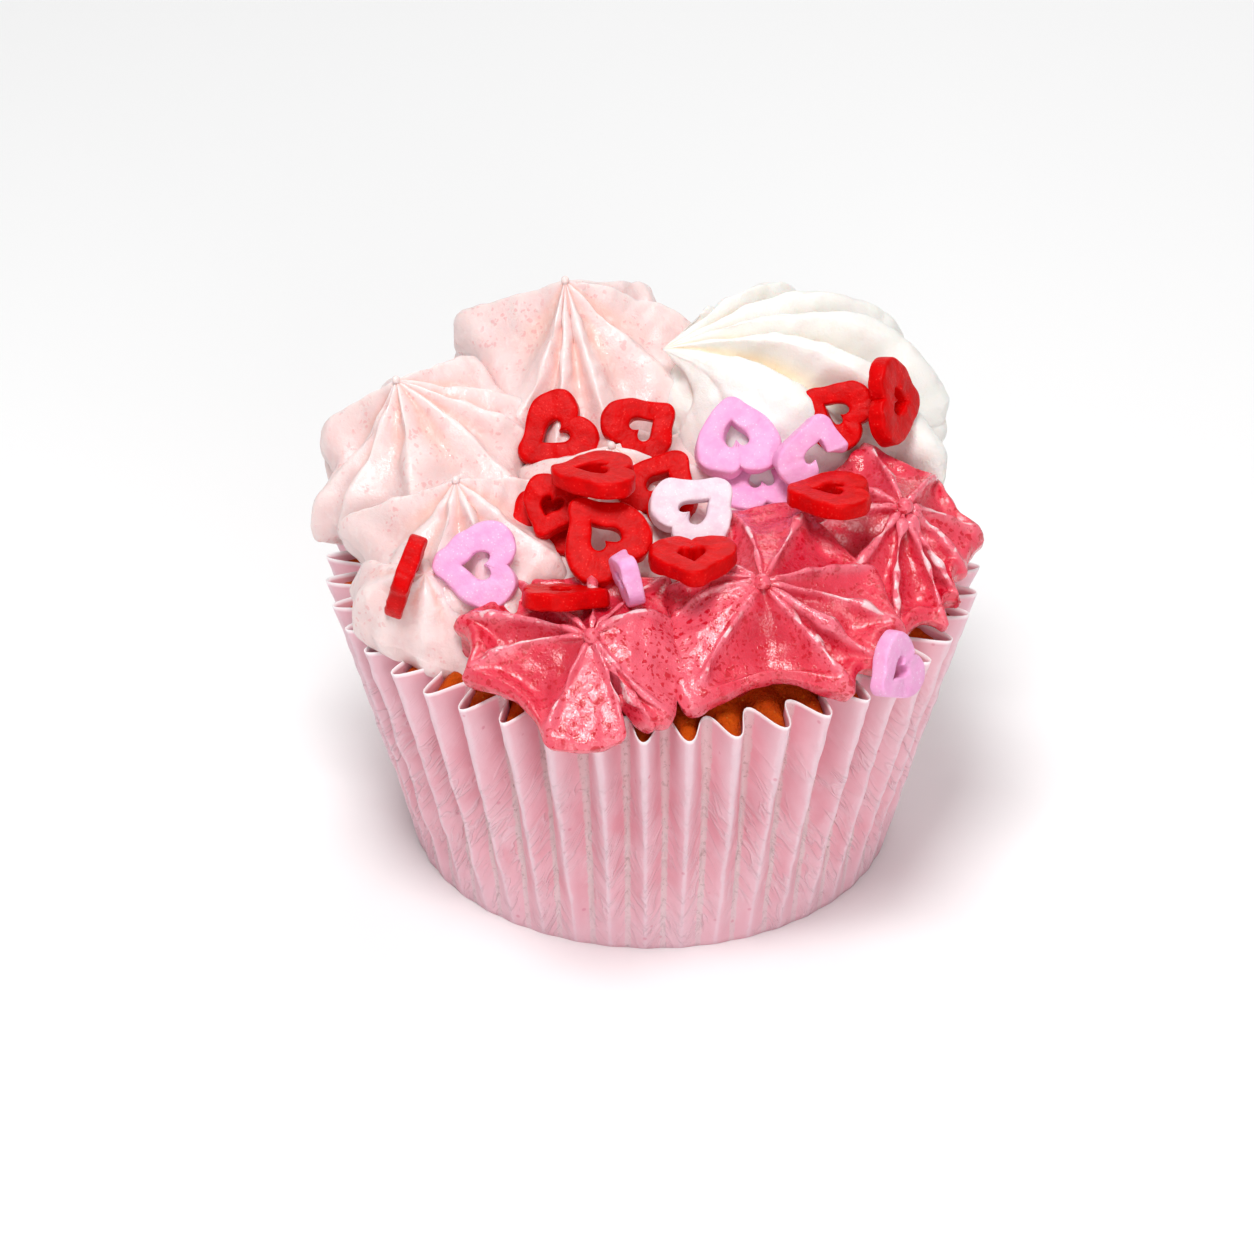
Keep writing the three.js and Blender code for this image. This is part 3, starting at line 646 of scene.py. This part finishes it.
def case_surface(settings):
    """The paper as one closed skin: outer wall up, over the rim, inner wall down, with its floor
    between two poles. The wall follows case_wall with small dents, and the skin's inner side is
    moved in by the paper's thickness square to the wave."""
    turns = np.arange(settings.pleats * CASE_COLUMNS) / CASE_COLUMNS
    share = np.linspace(0, 1, CASE_ROWS)[:, None]
    radius, fold, angle = case_wall(settings, turns, share)
    z = share * RIM_HEIGHT * np.ones_like(radius)
    places = np.stack([radius * np.cos(angle), radius * np.sin(angle), z], axis=-1)
    dents = 0.10 * ripples(places, 5, 21) + 0.05 * ripples(places, 1.8, 22) - 0.12
    radius = radius + dents * smooth(share, 0.03, 0.2) * (1 - smooth(share, 0.9, 1))
    outer = np.stack([radius * np.cos(angle), radius * np.sin(angle), z], axis=-1)
    along = np.roll(outer, -1, axis=1) - np.roll(outer, 1, axis=1)
    along /= np.linalg.norm(along, axis=-1, keepdims=True)
    inward = np.stack([-along[..., 1], along[..., 0], np.zeros_like(z)], axis=-1)
    inner = outer + inward * (settings.paper / MM)
    inner[0, :, 2] = settings.paper / MM
    grid = np.concatenate([outer, inner[::-1]])
    fold, angle, z = (np.concatenate([value, value[::-1]]) for value in (fold, angle, z))
    values = dict(
        fold=fold,
        height=z / RIM_HEIGHT,
        east=np.cos(angle),
        north=np.sin(angle),
        slant=(z - CREASE_SLOPE * (1 - fold)) / RIM_HEIGHT,
        rim=smooth(z, RIM_HEIGHT - 0.3, RIM_HEIGHT - 0.05))
    return grid, values


def make_paper_case(settings):
    grid, values = case_surface(settings)
    poles = np.array([[0, 0, 0], [0, 0, settings.paper / MM]])
    piece = ringed_piece("paper_case_skin", grid, values, poles)
    return dress(piece, paper_material(settings), "paper", "paper_case")


def dome_height(x, y, cake):
    """Height of the sponge's top: a paraboloid over the circle inside the inward folds."""
    inner = lerp(cake_base(0), cake_base(RIM_HEIGHT), cake.edge / MM / RIM_HEIGHT)
    return cake.edge / MM + cake.dome / MM * (1 - (x * x + y * y) / inner ** 2)


def cake_base(height):
    """Radius just inside the paper's inward folds at a height."""
    return lerp(*INWARD_FOLDS, height / RIM_HEIGHT) - CAKE_GAP


def make_cake(settings, case):
    """The sponge: rings up its side, where it swells into the pleats, most of all near the top,
    over a rounded edge, then in over the dome. Height on the dome falls with the square of the
    share of the way out, and small bumps cover it."""
    turns = np.arange(case.pleats * CAKE_COLUMNS) / CAKE_COLUMNS
    edge = settings.edge / MM
    side = np.append(np.linspace(CAKE_GAP, edge - 1, 20), edge - 0.35)[:, None]
    wall, _, angle = case_wall(case, turns, side / RIM_HEIGHT)
    side_radius = lerp(cake_base(side), wall - 0.45, lerp(0.25, 0.94, smooth(side, 18, 26)))
    side_radius[-1] -= 0.2
    shares = np.linspace(0.975, 0.02, 44)[:, None]
    wave = lerp(side_radius[-1].mean(), side_radius[-1], smooth(shares, 0.7, 0.97))
    radius = np.concatenate([side_radius, wave * shares])
    angle = np.concatenate([angle, angle[-1] + 0 * shares])
    top = edge + settings.dome / MM * (1 - shares ** 2)
    z = np.concatenate([side, top]) * np.ones_like(radius)
    grid = np.stack([radius * np.cos(angle), radius * np.sin(angle), z], axis=-1)
    bumps = 0.16 * ripples(grid, 2.6, 31) + 0.10 * ripples(grid, 1.1, 32) - 0.3
    grid[..., 2] += bumps * smooth(z, edge - 4, edge)
    piece = ringed_piece("sponge", grid, dict(height=z / edge),
                         np.array([[0, 0, CAKE_GAP], [0, 0, grid[-1, :, 2].mean()]]))
    return dress(piece, cake_material(settings), "cake", "cake")


# ---------------------------------------------------------------- piped icing


def piping_of(dollop):
    """How a dollop is piped: as its icing is, unless the dollop says otherwise."""
    return PIPING[dollop.get("piping", dollop["icing"])]


def ridge_table(dollop):
    """Columns of the ridge table as arrays: azimuth in radians, reach, end height, hollow, arch."""
    rows = [tuple(row) + (DEFAULT_HOLLOW, dollop["arch"])[len(row) - 3:] for row in dollop["ridges"]]
    table = np.array(rows, dtype=float).T
    table[0] = np.radians(table[0])
    return table


def between_ridges(values, share):
    """Values at the ridges carried to the steps between them along straight lines."""
    following = np.roll(values, -1, axis=-1)
    return lerp(values[..., :, None], following[..., :, None], share).reshape(*values.shape[:-1], -1)


def ridge_lines(dollop, settings, cake):
    """The line of every ridge from the bed, out under its end, over the end's rounded edge and up
    its crest to the tip: x, y and z as (points along the line, ridges), and the level of each
    point, 1 at the end and below it and 0 at the tip.

    At level t the crest's plan lies at t times its reach from the foot plus the tip's offset times
    (1 - t)^1.5, and bows to one side by up to about half a millimetre times sin(pi t). Its height
    is the end's plus the rise to the tip times (1 - t)^peak plus the arch times sin(pi t), and it
    rounds off in a quarter circle at its end. The edge under that is half a turn. Where the end
    lies low the side bends in under it, and where it stands high the side runs down full."""
    azimuth, reach, end, _, arch = ridge_table(dollop)
    foot, tip = dollop["foot"], dollop["tip"]
    piping = piping_of(dollop)
    reach = reach * (1 + piping["grow"])
    heading = np.stack([np.cos(azimuth), np.sin(azimuth)])
    sideways = np.stack([-np.sin(azimuth), np.cos(azimuth)])
    t = np.linspace(1, max(0.85 * piping["knob"] / reach.mean(), 0.012), settings.rings)[:, None]
    swing = (1 - t) ** LEAN_POWER
    bow = RIDGE_BOW * np.random.default_rng(dollop["seed"] + 200).normal(size=len(reach))
    bow = bow * np.sin(math.pi * t)
    stand = end - piping["round"] - piping["edge"] - dome_height(*foot, cake)
    stand = smooth(stand, 0, 7)
    bed_reach = reach * lerp(BED_REACH, FULL_REACH, stand)
    bed = np.stack([foot[axis] + bed_reach * heading[axis] for axis in (0, 1)])
    bed *= np.minimum(1, BED_RADIUS / np.hypot(*bed))
    bed_z = dome_height(bed[0], bed[1], cake) - BED
    turn = np.linspace(1, 0, EDGE_RINGS, endpoint=False)[:, None]
    tuck = END_TUCK * lerp(1, 0.2, stand)
    edge_reach = reach + 0.12 * np.sin(math.pi * turn) - tuck * turn ** 2
    half_turn = piping["edge"] * (1 - np.cos(math.pi * turn)) / 2
    edge_z = np.maximum(end - piping["round"] - half_turn, bed_z + 0.1)
    side = np.linspace(1, 0, SIDE_RINGS, endpoint=False)[:, None]
    plan = []
    for axis in (0, 1):
        crest = foot[axis] + reach * t * heading[axis] + (tip[axis] - foot[axis]) * swing
        crest = crest + bow * sideways[axis]
        edge = foot[axis] + edge_reach * heading[axis]
        under = lerp(edge[0], bed[axis], side ** lerp(0.6, 3, stand))
        under = under + 0.7 * stand * heading[axis] * np.sin(math.pi * side)
        plan.append(np.concatenate([under, edge, crest]))
    rise = tip[2] - piping["knob"] - end
    crest_z = end + rise * (1 - t) ** dollop["peak"] + arch * np.sin(math.pi * t)
    past = np.clip(1 - reach * (1 - t) / piping["round"], 0, 1)
    crest_z = np.maximum(crest_z - piping["round"] * (1 - np.sqrt(1 - past ** 2)), edge_z[-1])
    z = np.concatenate([lerp(edge_z[0], bed_z, side ** 1.5), edge_z, crest_z])
    level = np.concatenate([np.ones(SIDE_RINGS + EDGE_RINGS), t[:, 0]])[:, None]
    return plan[0], plan[1], z, level


def softened(grid, spread):
    """Rings of points blurred along each ring by a Gaussian of a spread in grid steps."""
    count = grid.shape[1]
    waves = np.fft.rfft(grid, axis=1)
    number = np.arange(waves.shape[1])[None, :, None]
    fade = np.exp(-2 * (math.pi * spread[..., None] * number / count) ** 2)
    return np.fft.irfft(waves * fade, n=count, axis=1)


def outward(grid):
    """Unit normals of a grid of rings, from the directions round and up."""
    round_ = np.roll(grid, -1, axis=1) - np.roll(grid, 1, axis=1)
    up = np.gradient(grid, axis=0)
    normal = np.cross(round_, up)
    return normal / (np.linalg.norm(normal, axis=-1, keepdims=True) + 1e-9)


def knob_rings(dollop, headings):
    """The knob that the nozzle leaves: part of a ball, with its top at the tip and a small nod."""
    radius = piping_of(dollop)["knob"]
    turn = np.linspace(1.9, 0.25, KNOB_RINGS)[:, None]
    nod = 0.35 * radius * (1 - np.cos(turn)) / 2
    x = dollop["tip"][0] + radius * np.sin(turn) * headings[0] + nod * 0.3
    y = dollop["tip"][1] + radius * np.sin(turn) * headings[1] - nod
    z = dollop["tip"][2] - radius + radius * np.cos(turn) + np.zeros_like(x)
    return np.stack([x, y, z], axis=-1)


def dollop_grid(dollop, settings, cake):
    """A star-piped dollop as rings of points from its bed to its tip.

    Between two ridges the face runs straight across and is pulled towards the axis by the hollow
    times a valley curve of the share s of the way across: 1 - |2s - 1|^2.6 between thin ridges,
    a power of (1 - cos 2 pi s) / 2 between broad ones, or s^k (1 - s) scaled to 1 where the icing
    folds over to one side and bellies out before it. The valleys deepen towards the tip. The rings
    are then softened, most at the ends, a bead is raised along each crest, and ripples move the
    rest."""
    piping = piping_of(dollop)
    table = ridge_table(dollop)
    foot, tip = dollop["foot"], dollop["tip"]
    x, y, z, level = ridge_lines(dollop, settings, cake)
    steps = settings.steps
    share = (1 - np.cos(np.linspace(0, math.pi, steps, endpoint=False))) / 2
    share = lerp(share, np.linspace(0, 1, steps, endpoint=False), 0.3)
    gap = np.hypot(np.roll(x, -1, axis=1) - x, np.roll(y, -1, axis=1) - y)
    gap = np.repeat(gap, steps, axis=1)
    x, y, z = (between_ridges(values, share) for values in (x, y, z))
    across = np.tile(share, len(table[0]))
    hollow = np.repeat(table[3], steps) * piping["hollow"]
    fold = piping["fold"]
    if fold:
        valley = across ** fold * (1 - across) * (fold + 1) ** (fold + 1) / fold ** fold
    elif piping["broad"]:
        valley = ((1 - np.cos(2 * math.pi * across)) / 2) ** piping["broad"]
    else:
        valley = 1 - np.abs(2 * across - 1) ** 2.6
    lobe = np.where(hollow == 0, -0.02, hollow) * smooth(level, 0.6, 1.0)
    deep = hollow * (1 - smooth(level, 0.6, 1.0)) * lerp(piping["deepen"], 1, smooth(level, 0, 0.6))
    pull = (lobe + deep) * valley
    pull = pull - piping["belly"] * 4 * across * (1 - across) * smooth(level, 0.05, 0.4)
    swing = (1 - level) ** LEAN_POWER
    x = lerp(x, foot[0] + (tip[0] - foot[0]) * swing, pull)
    y = lerp(y, foot[1] + (tip[1] - foot[1]) * swing, pull)
    sink = piping["sink"] * smooth(level, 0, 0.5) * (1 - smooth(level, 0.7, 0.95))
    z = z + np.maximum(pull, 0) * (piping["lift"] * smooth(level, 0.75, 1) - sink)
    grid = np.stack([x, y, z], axis=-1)
    grid = softened(grid, lerp(piping["soft"], piping["soft_end"], smooth(level, 0.6, 0.95)))
    from_crest = np.minimum(across, 1 - across) * gap
    crest = np.exp(-(from_crest / piping["bead_width"]) ** 2)
    crest = crest * smooth(level, 0.03, 0.15) * (1 - 0.8 * smooth(level, 0.8, 1))
    sharp = smooth(np.maximum(table[3], np.roll(table[3], 1)), 0, 0.05)
    crest = crest * np.where(across < 0.5, np.repeat(sharp, steps),
                             np.repeat(np.roll(sharp, -1), steps))
    normal = outward(grid)
    wander = 1 + 0.45 * ripples(grid, 4, dollop["seed"] + 80)
    body = smooth(level, 0.05, 0.3)
    relief = 0.24 * ripples(grid, 6, dollop["seed"]) + 0.08 * ripples(grid, 2.2, dollop["seed"] + 40)
    grid = grid + normal * (crest * piping["bead"] * wander + (relief - 0.12) * body)[..., None]
    values = dict(
        valley=np.clip(valley, 0, 1) * np.ones_like(z) * np.clip(hollow * 8, 0, 1),
        along=level * np.ones_like(z),
        crest=crest)
    if piping["knob"]:
        angle = np.unwrap(np.append(table[0], table[0][0] + 2 * math.pi))
        turn = (angle[:-1, None] + np.diff(angle)[:, None] * share).ravel()
        grid = np.concatenate([grid, knob_rings(dollop, np.stack([np.cos(turn), np.sin(turn)]))])
        plain = np.zeros((KNOB_RINGS, grid.shape[1]))
        tips = dict(valley=plain, along=plain, crest=plain + 0.2)
        values = {key: np.concatenate([value, tips[key]]) for key, value in values.items()}
        tip = (grid[-1, :, 0].mean(), grid[-1, :, 1].mean(), tip[2])
    bottom = (foot[0], foot[1], dome_height(*foot, cake) - 2 * BED)
    return grid, values, np.array([bottom, tip])


def make_icing(settings, cake):
    """Makes the nine dollops, each in the colour of its icing."""
    # The second and third colours of each icing are painted light: a deeper valley colour as painted
    # shade, and a paler crest colour as painted highlight, which also tints the mottling.
    materials = dict(
        pale=icing_material("pale_buttercream", tuple(settings.pale), (0.90, 0.50, 0.41),
                            (0.93, 0.82, 0.80), (0.80, 0.30, 0.31), 0.42, 0.14, 0.35, 0.28, 0.35,
                            0.0012, 0.35),
        white=icing_material("white_buttercream", tuple(settings.white), (0.95, 0.72, 0.42),
                             (0.92, 0.90, 0.86), (0.88, 0.80, 0.68), 0.2, 0.1, 0.2, 0.36, 0.35,
                             0.0015, 0.1),
        berry=icing_material("berry_buttercream", tuple(settings.berry), (0.54, 0.008, 0.032),
                             (0.92, 0.24, 0.32), (0.60, 0.001, 0.018), 1, -0.04, 0.14, 0.14,
                             0.1, 0.0004, 0.8))
    slots = dict(pale="icing_pale", white="icing_white", berry="icing_berry")
    for node, dollop in DOLLOPS.items():
        grid, values, poles = dollop_grid(dollop, settings, cake)
        piece = ringed_piece(node.replace("icing", "dollop"), grid, values, poles)
        dress(piece, materials[dollop["icing"]], slots[dollop["icing"]], node)


# ---------------------------------------------------------------- sugar hearts


def heart_curve(turn, width, blunt=0):
    """The classic heart curve, x = 16 sin^3 and y = 13 cos - 5 cos 2 - 2 cos 3 - cos 4 of the turn,
    scaled to a width, with its point towards -Y. A blunt of up to 16 takes so much of x from the
    plain sine instead, which rounds off the point and the notch."""
    x = (16 - blunt) * np.sin(turn) ** 3 + blunt * np.sin(turn)
    y = 13 * np.cos(turn) - 5 * np.cos(2 * turn) - 2 * np.cos(3 * turn) - np.cos(4 * turn)
    return np.stack([x, y + HEART_RISE], axis=-1) * width / HEART_SPAN


def heart_outline(turn, width, blunt, plump):
    """The heart curve moved outwards by plump, less so at its notch, and as wide as before."""
    curve = heart_curve(turn, width - 2 * plump, blunt)
    step = 0.001
    along = heart_curve(turn + step, width, blunt) - heart_curve(turn - step, width, blunt)
    along /= np.linalg.norm(along, axis=-1, keepdims=True)
    outward_ = np.stack([-along[:, 1], along[:, 0]], axis=-1)
    from_notch = np.minimum(turn, 2 * math.pi - turn)
    return curve + outward_ * (plump * smooth(from_notch, -0.3, 0.8))[:, None]


def heart_grid(settings, size, broken, seed):
    """A heart-shaped ring of sugar: round the heart curve, a section that runs from the hole's
    edge to the outline and back. The section is a superellipse, so its faces are flat and its
    edges rounded; the notch and the point are softened, and low bumps make each heart its own."""
    end = HEART_BREAK * math.pi if broken else 2 * math.pi
    width = settings.width / MM * size
    plump = HEART_PLUMP * width
    fine = np.linspace(0, end, 3000)
    outline = heart_outline(fine, width, 3, plump)
    length = np.append(0, np.cumsum(np.linalg.norm(np.diff(outline, axis=0), axis=1)))
    share = np.interp(np.linspace(0, length[-1], HEART_RINGS, endpoint=broken), length, fine)
    outer = heart_outline(share, width, 3, plump)
    inner = heart_curve(share, width * settings.hole, 4) * np.array([1, 1.15])
    around = np.linspace(0, 2 * math.pi, HEART_COLUMNS, endpoint=False)
    across, up = (np.sign(wave) * np.abs(wave) ** HEART_SQUARE
                  for wave in (np.cos(around), np.sin(around)))
    middle, half = (outer + inner) / 2, (outer - inner) / 2
    flat = middle[:, None, :] + half[:, None, :] * across[None, :, None]
    z = np.broadcast_to(up * settings.thickness / MM / 2 * 0.98, flat.shape[:2])
    if broken:
        taper = np.sqrt(np.clip(np.minimum(share, end - share) / 0.16, 0.02, 1))[:, None]
        flat = lerp(middle[:, None, :], flat, taper[..., None])
        z = z * taper
    grid = np.concatenate([flat, z[..., None]], axis=-1)
    bumps = 0.09 * ripples(grid, 3.2, seed) + 0.03 * ripples(grid, 1.1, seed + 60)
    sway = np.stack([ripples(grid, 6, seed + 120), ripples(grid, 6, seed + 180)], axis=-1)
    nicks = np.stack([ripples(grid, 2.2, seed + 240), ripples(grid, 2.2, seed + 300)], axis=-1)
    grid[..., 2] -= np.abs(bumps) * np.sign(up)
    grid[..., :2] += 0.15 * sway + 0.05 * nicks
    return grid


def turn(angle, first, second):
    """The turn by an angle from one axis towards another."""
    matrix = np.eye(3)
    matrix[first, first] = matrix[second, second] = np.cos(angle)
    matrix[second, first], matrix[first, second] = np.sin(angle), -np.sin(angle)
    return matrix


def turned(grid, facing, middle):
    """Turns points by a spin about Z, the tilt about Y and the azimuth about Z, then moves them. The
    spin is the one with which the heart's point, sin(spin) X - cos(spin) Y, shows from the front
    along the third angle."""
    azimuth, tilt, point = np.radians(facing)
    look = math.radians(LOOK_DOWN)
    face = turn(azimuth, X, Y) @ turn(tilt, Z, X)
    front = np.array([[1, 0, 0], [0, math.sin(look), math.cos(look)]])
    shown = front @ face @ np.array([[1, 0], [0, -1], [0, 0]])
    spin = np.arctan2(*np.linalg.solve(shown, [np.cos(point), np.sin(point)]))
    return grid @ (face @ turn(spin, X, Y)).T + middle


def heart_middle(node, facing, size, settings):
    """Where a heart's own origin lies: the middle of the node's box, less the middle of the box of
    the same heart turned about the origin."""
    low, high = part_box(node)
    middle = np.array(low + high) / 2 / MM
    end = HEART_BREAK * math.pi if node == BROKEN_HEART else 2 * math.pi
    outline = heart_curve(np.linspace(0, end, NODE_STEPS, endpoint=False), settings.width / MM * size)
    flat = np.concatenate([outline, outline * NODE_HOLE])
    half = settings.thickness / MM / 2
    corners = np.concatenate([np.c_[flat, np.full(len(flat), z)] for z in (-half, half)])
    placed = turned(corners, facing, np.zeros(3))
    return middle - (placed.min(axis=0) + placed.max(axis=0)) / 2


def make_hearts(settings):
    """Makes the hearts, each where its frame node lies."""
    # The second colour of each sugar is that of its paler grains and painted glints.
    materials = dict(
        red=heart_material("red_sugar", tuple(settings.red), (0.94, 0.05, 0.04),
                           (0.57, 0.0, 0.0004), 0.08),
        pink=heart_material("pink_sugar", tuple(settings.pink), (0.96, 0.78, 0.92),
                            (0.87, 0.36, 0.65), 0.2),
        blush=heart_material("blush_sugar", tuple(settings.blush), (0.96, 0.92, 0.94),
                             (0.80, 0.60, 0.70), 0.2))
    for seed, (node, (colour, facing, size)) in enumerate(HEARTS.items()):
        broken = node == BROKEN_HEART
        grid = heart_grid(settings, size, broken, 100 + seed)
        grid = turned(grid, facing, heart_middle(node, facing, size, settings))
        name = node.replace("heart", "sugar_heart")
        if broken:
            poles = np.array([grid[0].mean(axis=0), grid[-1].mean(axis=0)])
            piece = ringed_piece(name, grid, {}, poles)
        else:
            piece = ringed_piece(name, grid, {})
        dress(piece, materials[colour], "heart_" + colour, node)


# ---------------------------------------------------------------- stage

CAMERA_PLACE = (0, -469, 321.5)
CAMERA_LENS = 154.7
CAMERA_AIM = (-2.6, 0, 22.8)


def make_camera():
    """A long lens that looks down at the cupcake from the front."""
    camera = bpy.data.cameras.new("camera")
    camera.lens = CAMERA_LENS
    camera.sensor_width = 36
    camera.clip_start, camera.clip_end = 0.01, 10
    holder = bpy.data.objects.new("camera", camera)
    holder.location = Vector(CAMERA_PLACE) * MM
    gaze = Vector(CAMERA_AIM) * MM - holder.location
    holder.rotation_euler = gaze.to_track_quat("-Z", "Y").to_euler()
    bpy.context.scene.collection.objects.link(holder)
    bpy.context.scene.camera = holder


def soft_light(name, place, aim, width, power):
    """A square soft box of a width in metres at a place, facing a point."""
    light = bpy.data.lights.new(name, "AREA")
    light.shape = "SQUARE"
    light.size = width
    light.energy = power
    holder = bpy.data.objects.new(name, light)
    holder.location = place
    gaze = Vector(aim) - Vector(place)
    holder.rotation_euler = gaze.to_track_quat("-Z", "Y").to_euler()
    bpy.context.scene.collection.objects.link(holder)


def make_stage(settings):
    """The floor, an even white surround and the soft boxes."""
    half = 3.0
    corners = np.array([[-half, -half, 0], [half, -half, 0], [half, half, 0], [-half, half, 0]]) / MM
    corners[:, 2] = -0.02
    floor = mesh_piece("floor", corners, [np.array([[0, 1, 2, 3]])], {})
    floor.data.materials.append(floor_material(tuple(settings.floor_colour)))
    world = bpy.data.worlds.new("surround")
    world.use_nodes = True
    world.node_tree.nodes["Background"].inputs["Color"].default_value = (1, 1, 1, 1)
    world.node_tree.nodes["Background"].inputs["Strength"].default_value = settings.sky
    bpy.context.scene.world = world
    aim = (0, 0, 0.03)
    soft_light("key", (-0.05, -0.16, 0.53), aim, 0.18, settings.key_power)
    soft_light("fill", (0.12, -0.5, 0.22), aim, 0.22, settings.fill_power)
    soft_light("back", (0.1, 0.45, 0.4), aim, 0.3, settings.fill_power)
    bpy.context.scene.view_settings.view_transform = "Standard"
    make_camera()


# ---------------------------------------------------------------- operators and panel


class CUPCAKE_OT_paper_case(bpy.types.Operator):
    """Makes the pleated paper case"""

    bl_idname = "cupcake.paper_case"
    bl_label = "Paper case"

    def execute(self, context):
        make_paper_case(context.scene.cupcake_case)
        return {"FINISHED"}


class CUPCAKE_OT_cake(bpy.types.Operator):
    """Makes the sponge inside the case"""

    bl_idname = "cupcake.cake"
    bl_label = "Sponge"

    def execute(self, context):
        make_cake(context.scene.cupcake_cake, context.scene.cupcake_case)
        return {"FINISHED"}


class CUPCAKE_OT_icing(bpy.types.Operator):
    """Pipes the nine dollops of icing"""

    bl_idname = "cupcake.icing"
    bl_label = "Icing"

    def execute(self, context):
        make_icing(context.scene.cupcake_icing, context.scene.cupcake_cake)
        return {"FINISHED"}


class CUPCAKE_OT_hearts(bpy.types.Operator):
    """Scatters the sugar hearts"""

    bl_idname = "cupcake.hearts"
    bl_label = "Sugar hearts"

    def execute(self, context):
        make_hearts(context.scene.cupcake_hearts)
        return {"FINISHED"}


class CUPCAKE_OT_stage(bpy.types.Operator):
    """Sets up the floor, lights and camera"""

    bl_idname = "cupcake.stage"
    bl_label = "Stage"

    def execute(self, context):
        make_stage(context.scene.cupcake_stage)
        return {"FINISHED"}


class CUPCAKE_PT_maker(bpy.types.Panel):
    """Lists the cupcake's pieces and their settings"""

    bl_label = "Cupcake"
    bl_space_type = "VIEW_3D"
    bl_region_type = "UI"
    bl_category = "Cupcake"

    def draw(self, context):
        for label, (settings, operators) in PANEL_ROWS.items():
            box = self.layout.box()
            box.label(text=label)
            group = getattr(context.scene, settings)
            for key in group.__annotations__:
                box.prop(group, key)
            for operator in operators:
                box.operator(operator)


PANEL_ROWS = {
    "Paper case": ("cupcake_case", ["cupcake.paper_case"]),
    "Sponge": ("cupcake_cake", ["cupcake.cake"]),
    "Icing": ("cupcake_icing", ["cupcake.icing"]),
    "Sugar hearts": ("cupcake_hearts", ["cupcake.hearts"]),
    "Stage": ("cupcake_stage", ["cupcake.stage"]),
}
SETTINGS = {
    "cupcake_case": CaseSettings,
    "cupcake_cake": CakeSettings,
    "cupcake_icing": IcingSettings,
    "cupcake_hearts": HeartSettings,
    "cupcake_stage": StageSettings,
}
OPERATORS = (
    CUPCAKE_OT_paper_case,
    CUPCAKE_OT_cake,
    CUPCAKE_OT_icing,
    CUPCAKE_OT_hearts,
    CUPCAKE_OT_stage,
    CUPCAKE_PT_maker,
)


def register():
    for name, group in SETTINGS.items():
        bpy.utils.register_class(group)
        setattr(bpy.types.Scene, name, PointerProperty(type=group))
    for entry in OPERATORS:
        bpy.utils.register_class(entry)


def unregister():
    for entry in reversed(OPERATORS):
        bpy.utils.unregister_class(entry)
    for name, group in reversed(SETTINGS.items()):
        delattr(bpy.types.Scene, name)
        bpy.utils.unregister_class(group)


def main():
    register()
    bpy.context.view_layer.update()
    bpy.ops.cupcake.stage()
    bpy.ops.cupcake.paper_case()
    bpy.ops.cupcake.cake()
    bpy.ops.cupcake.icing()
    bpy.ops.cupcake.hearts()


if __name__ == "__main__":
    main()
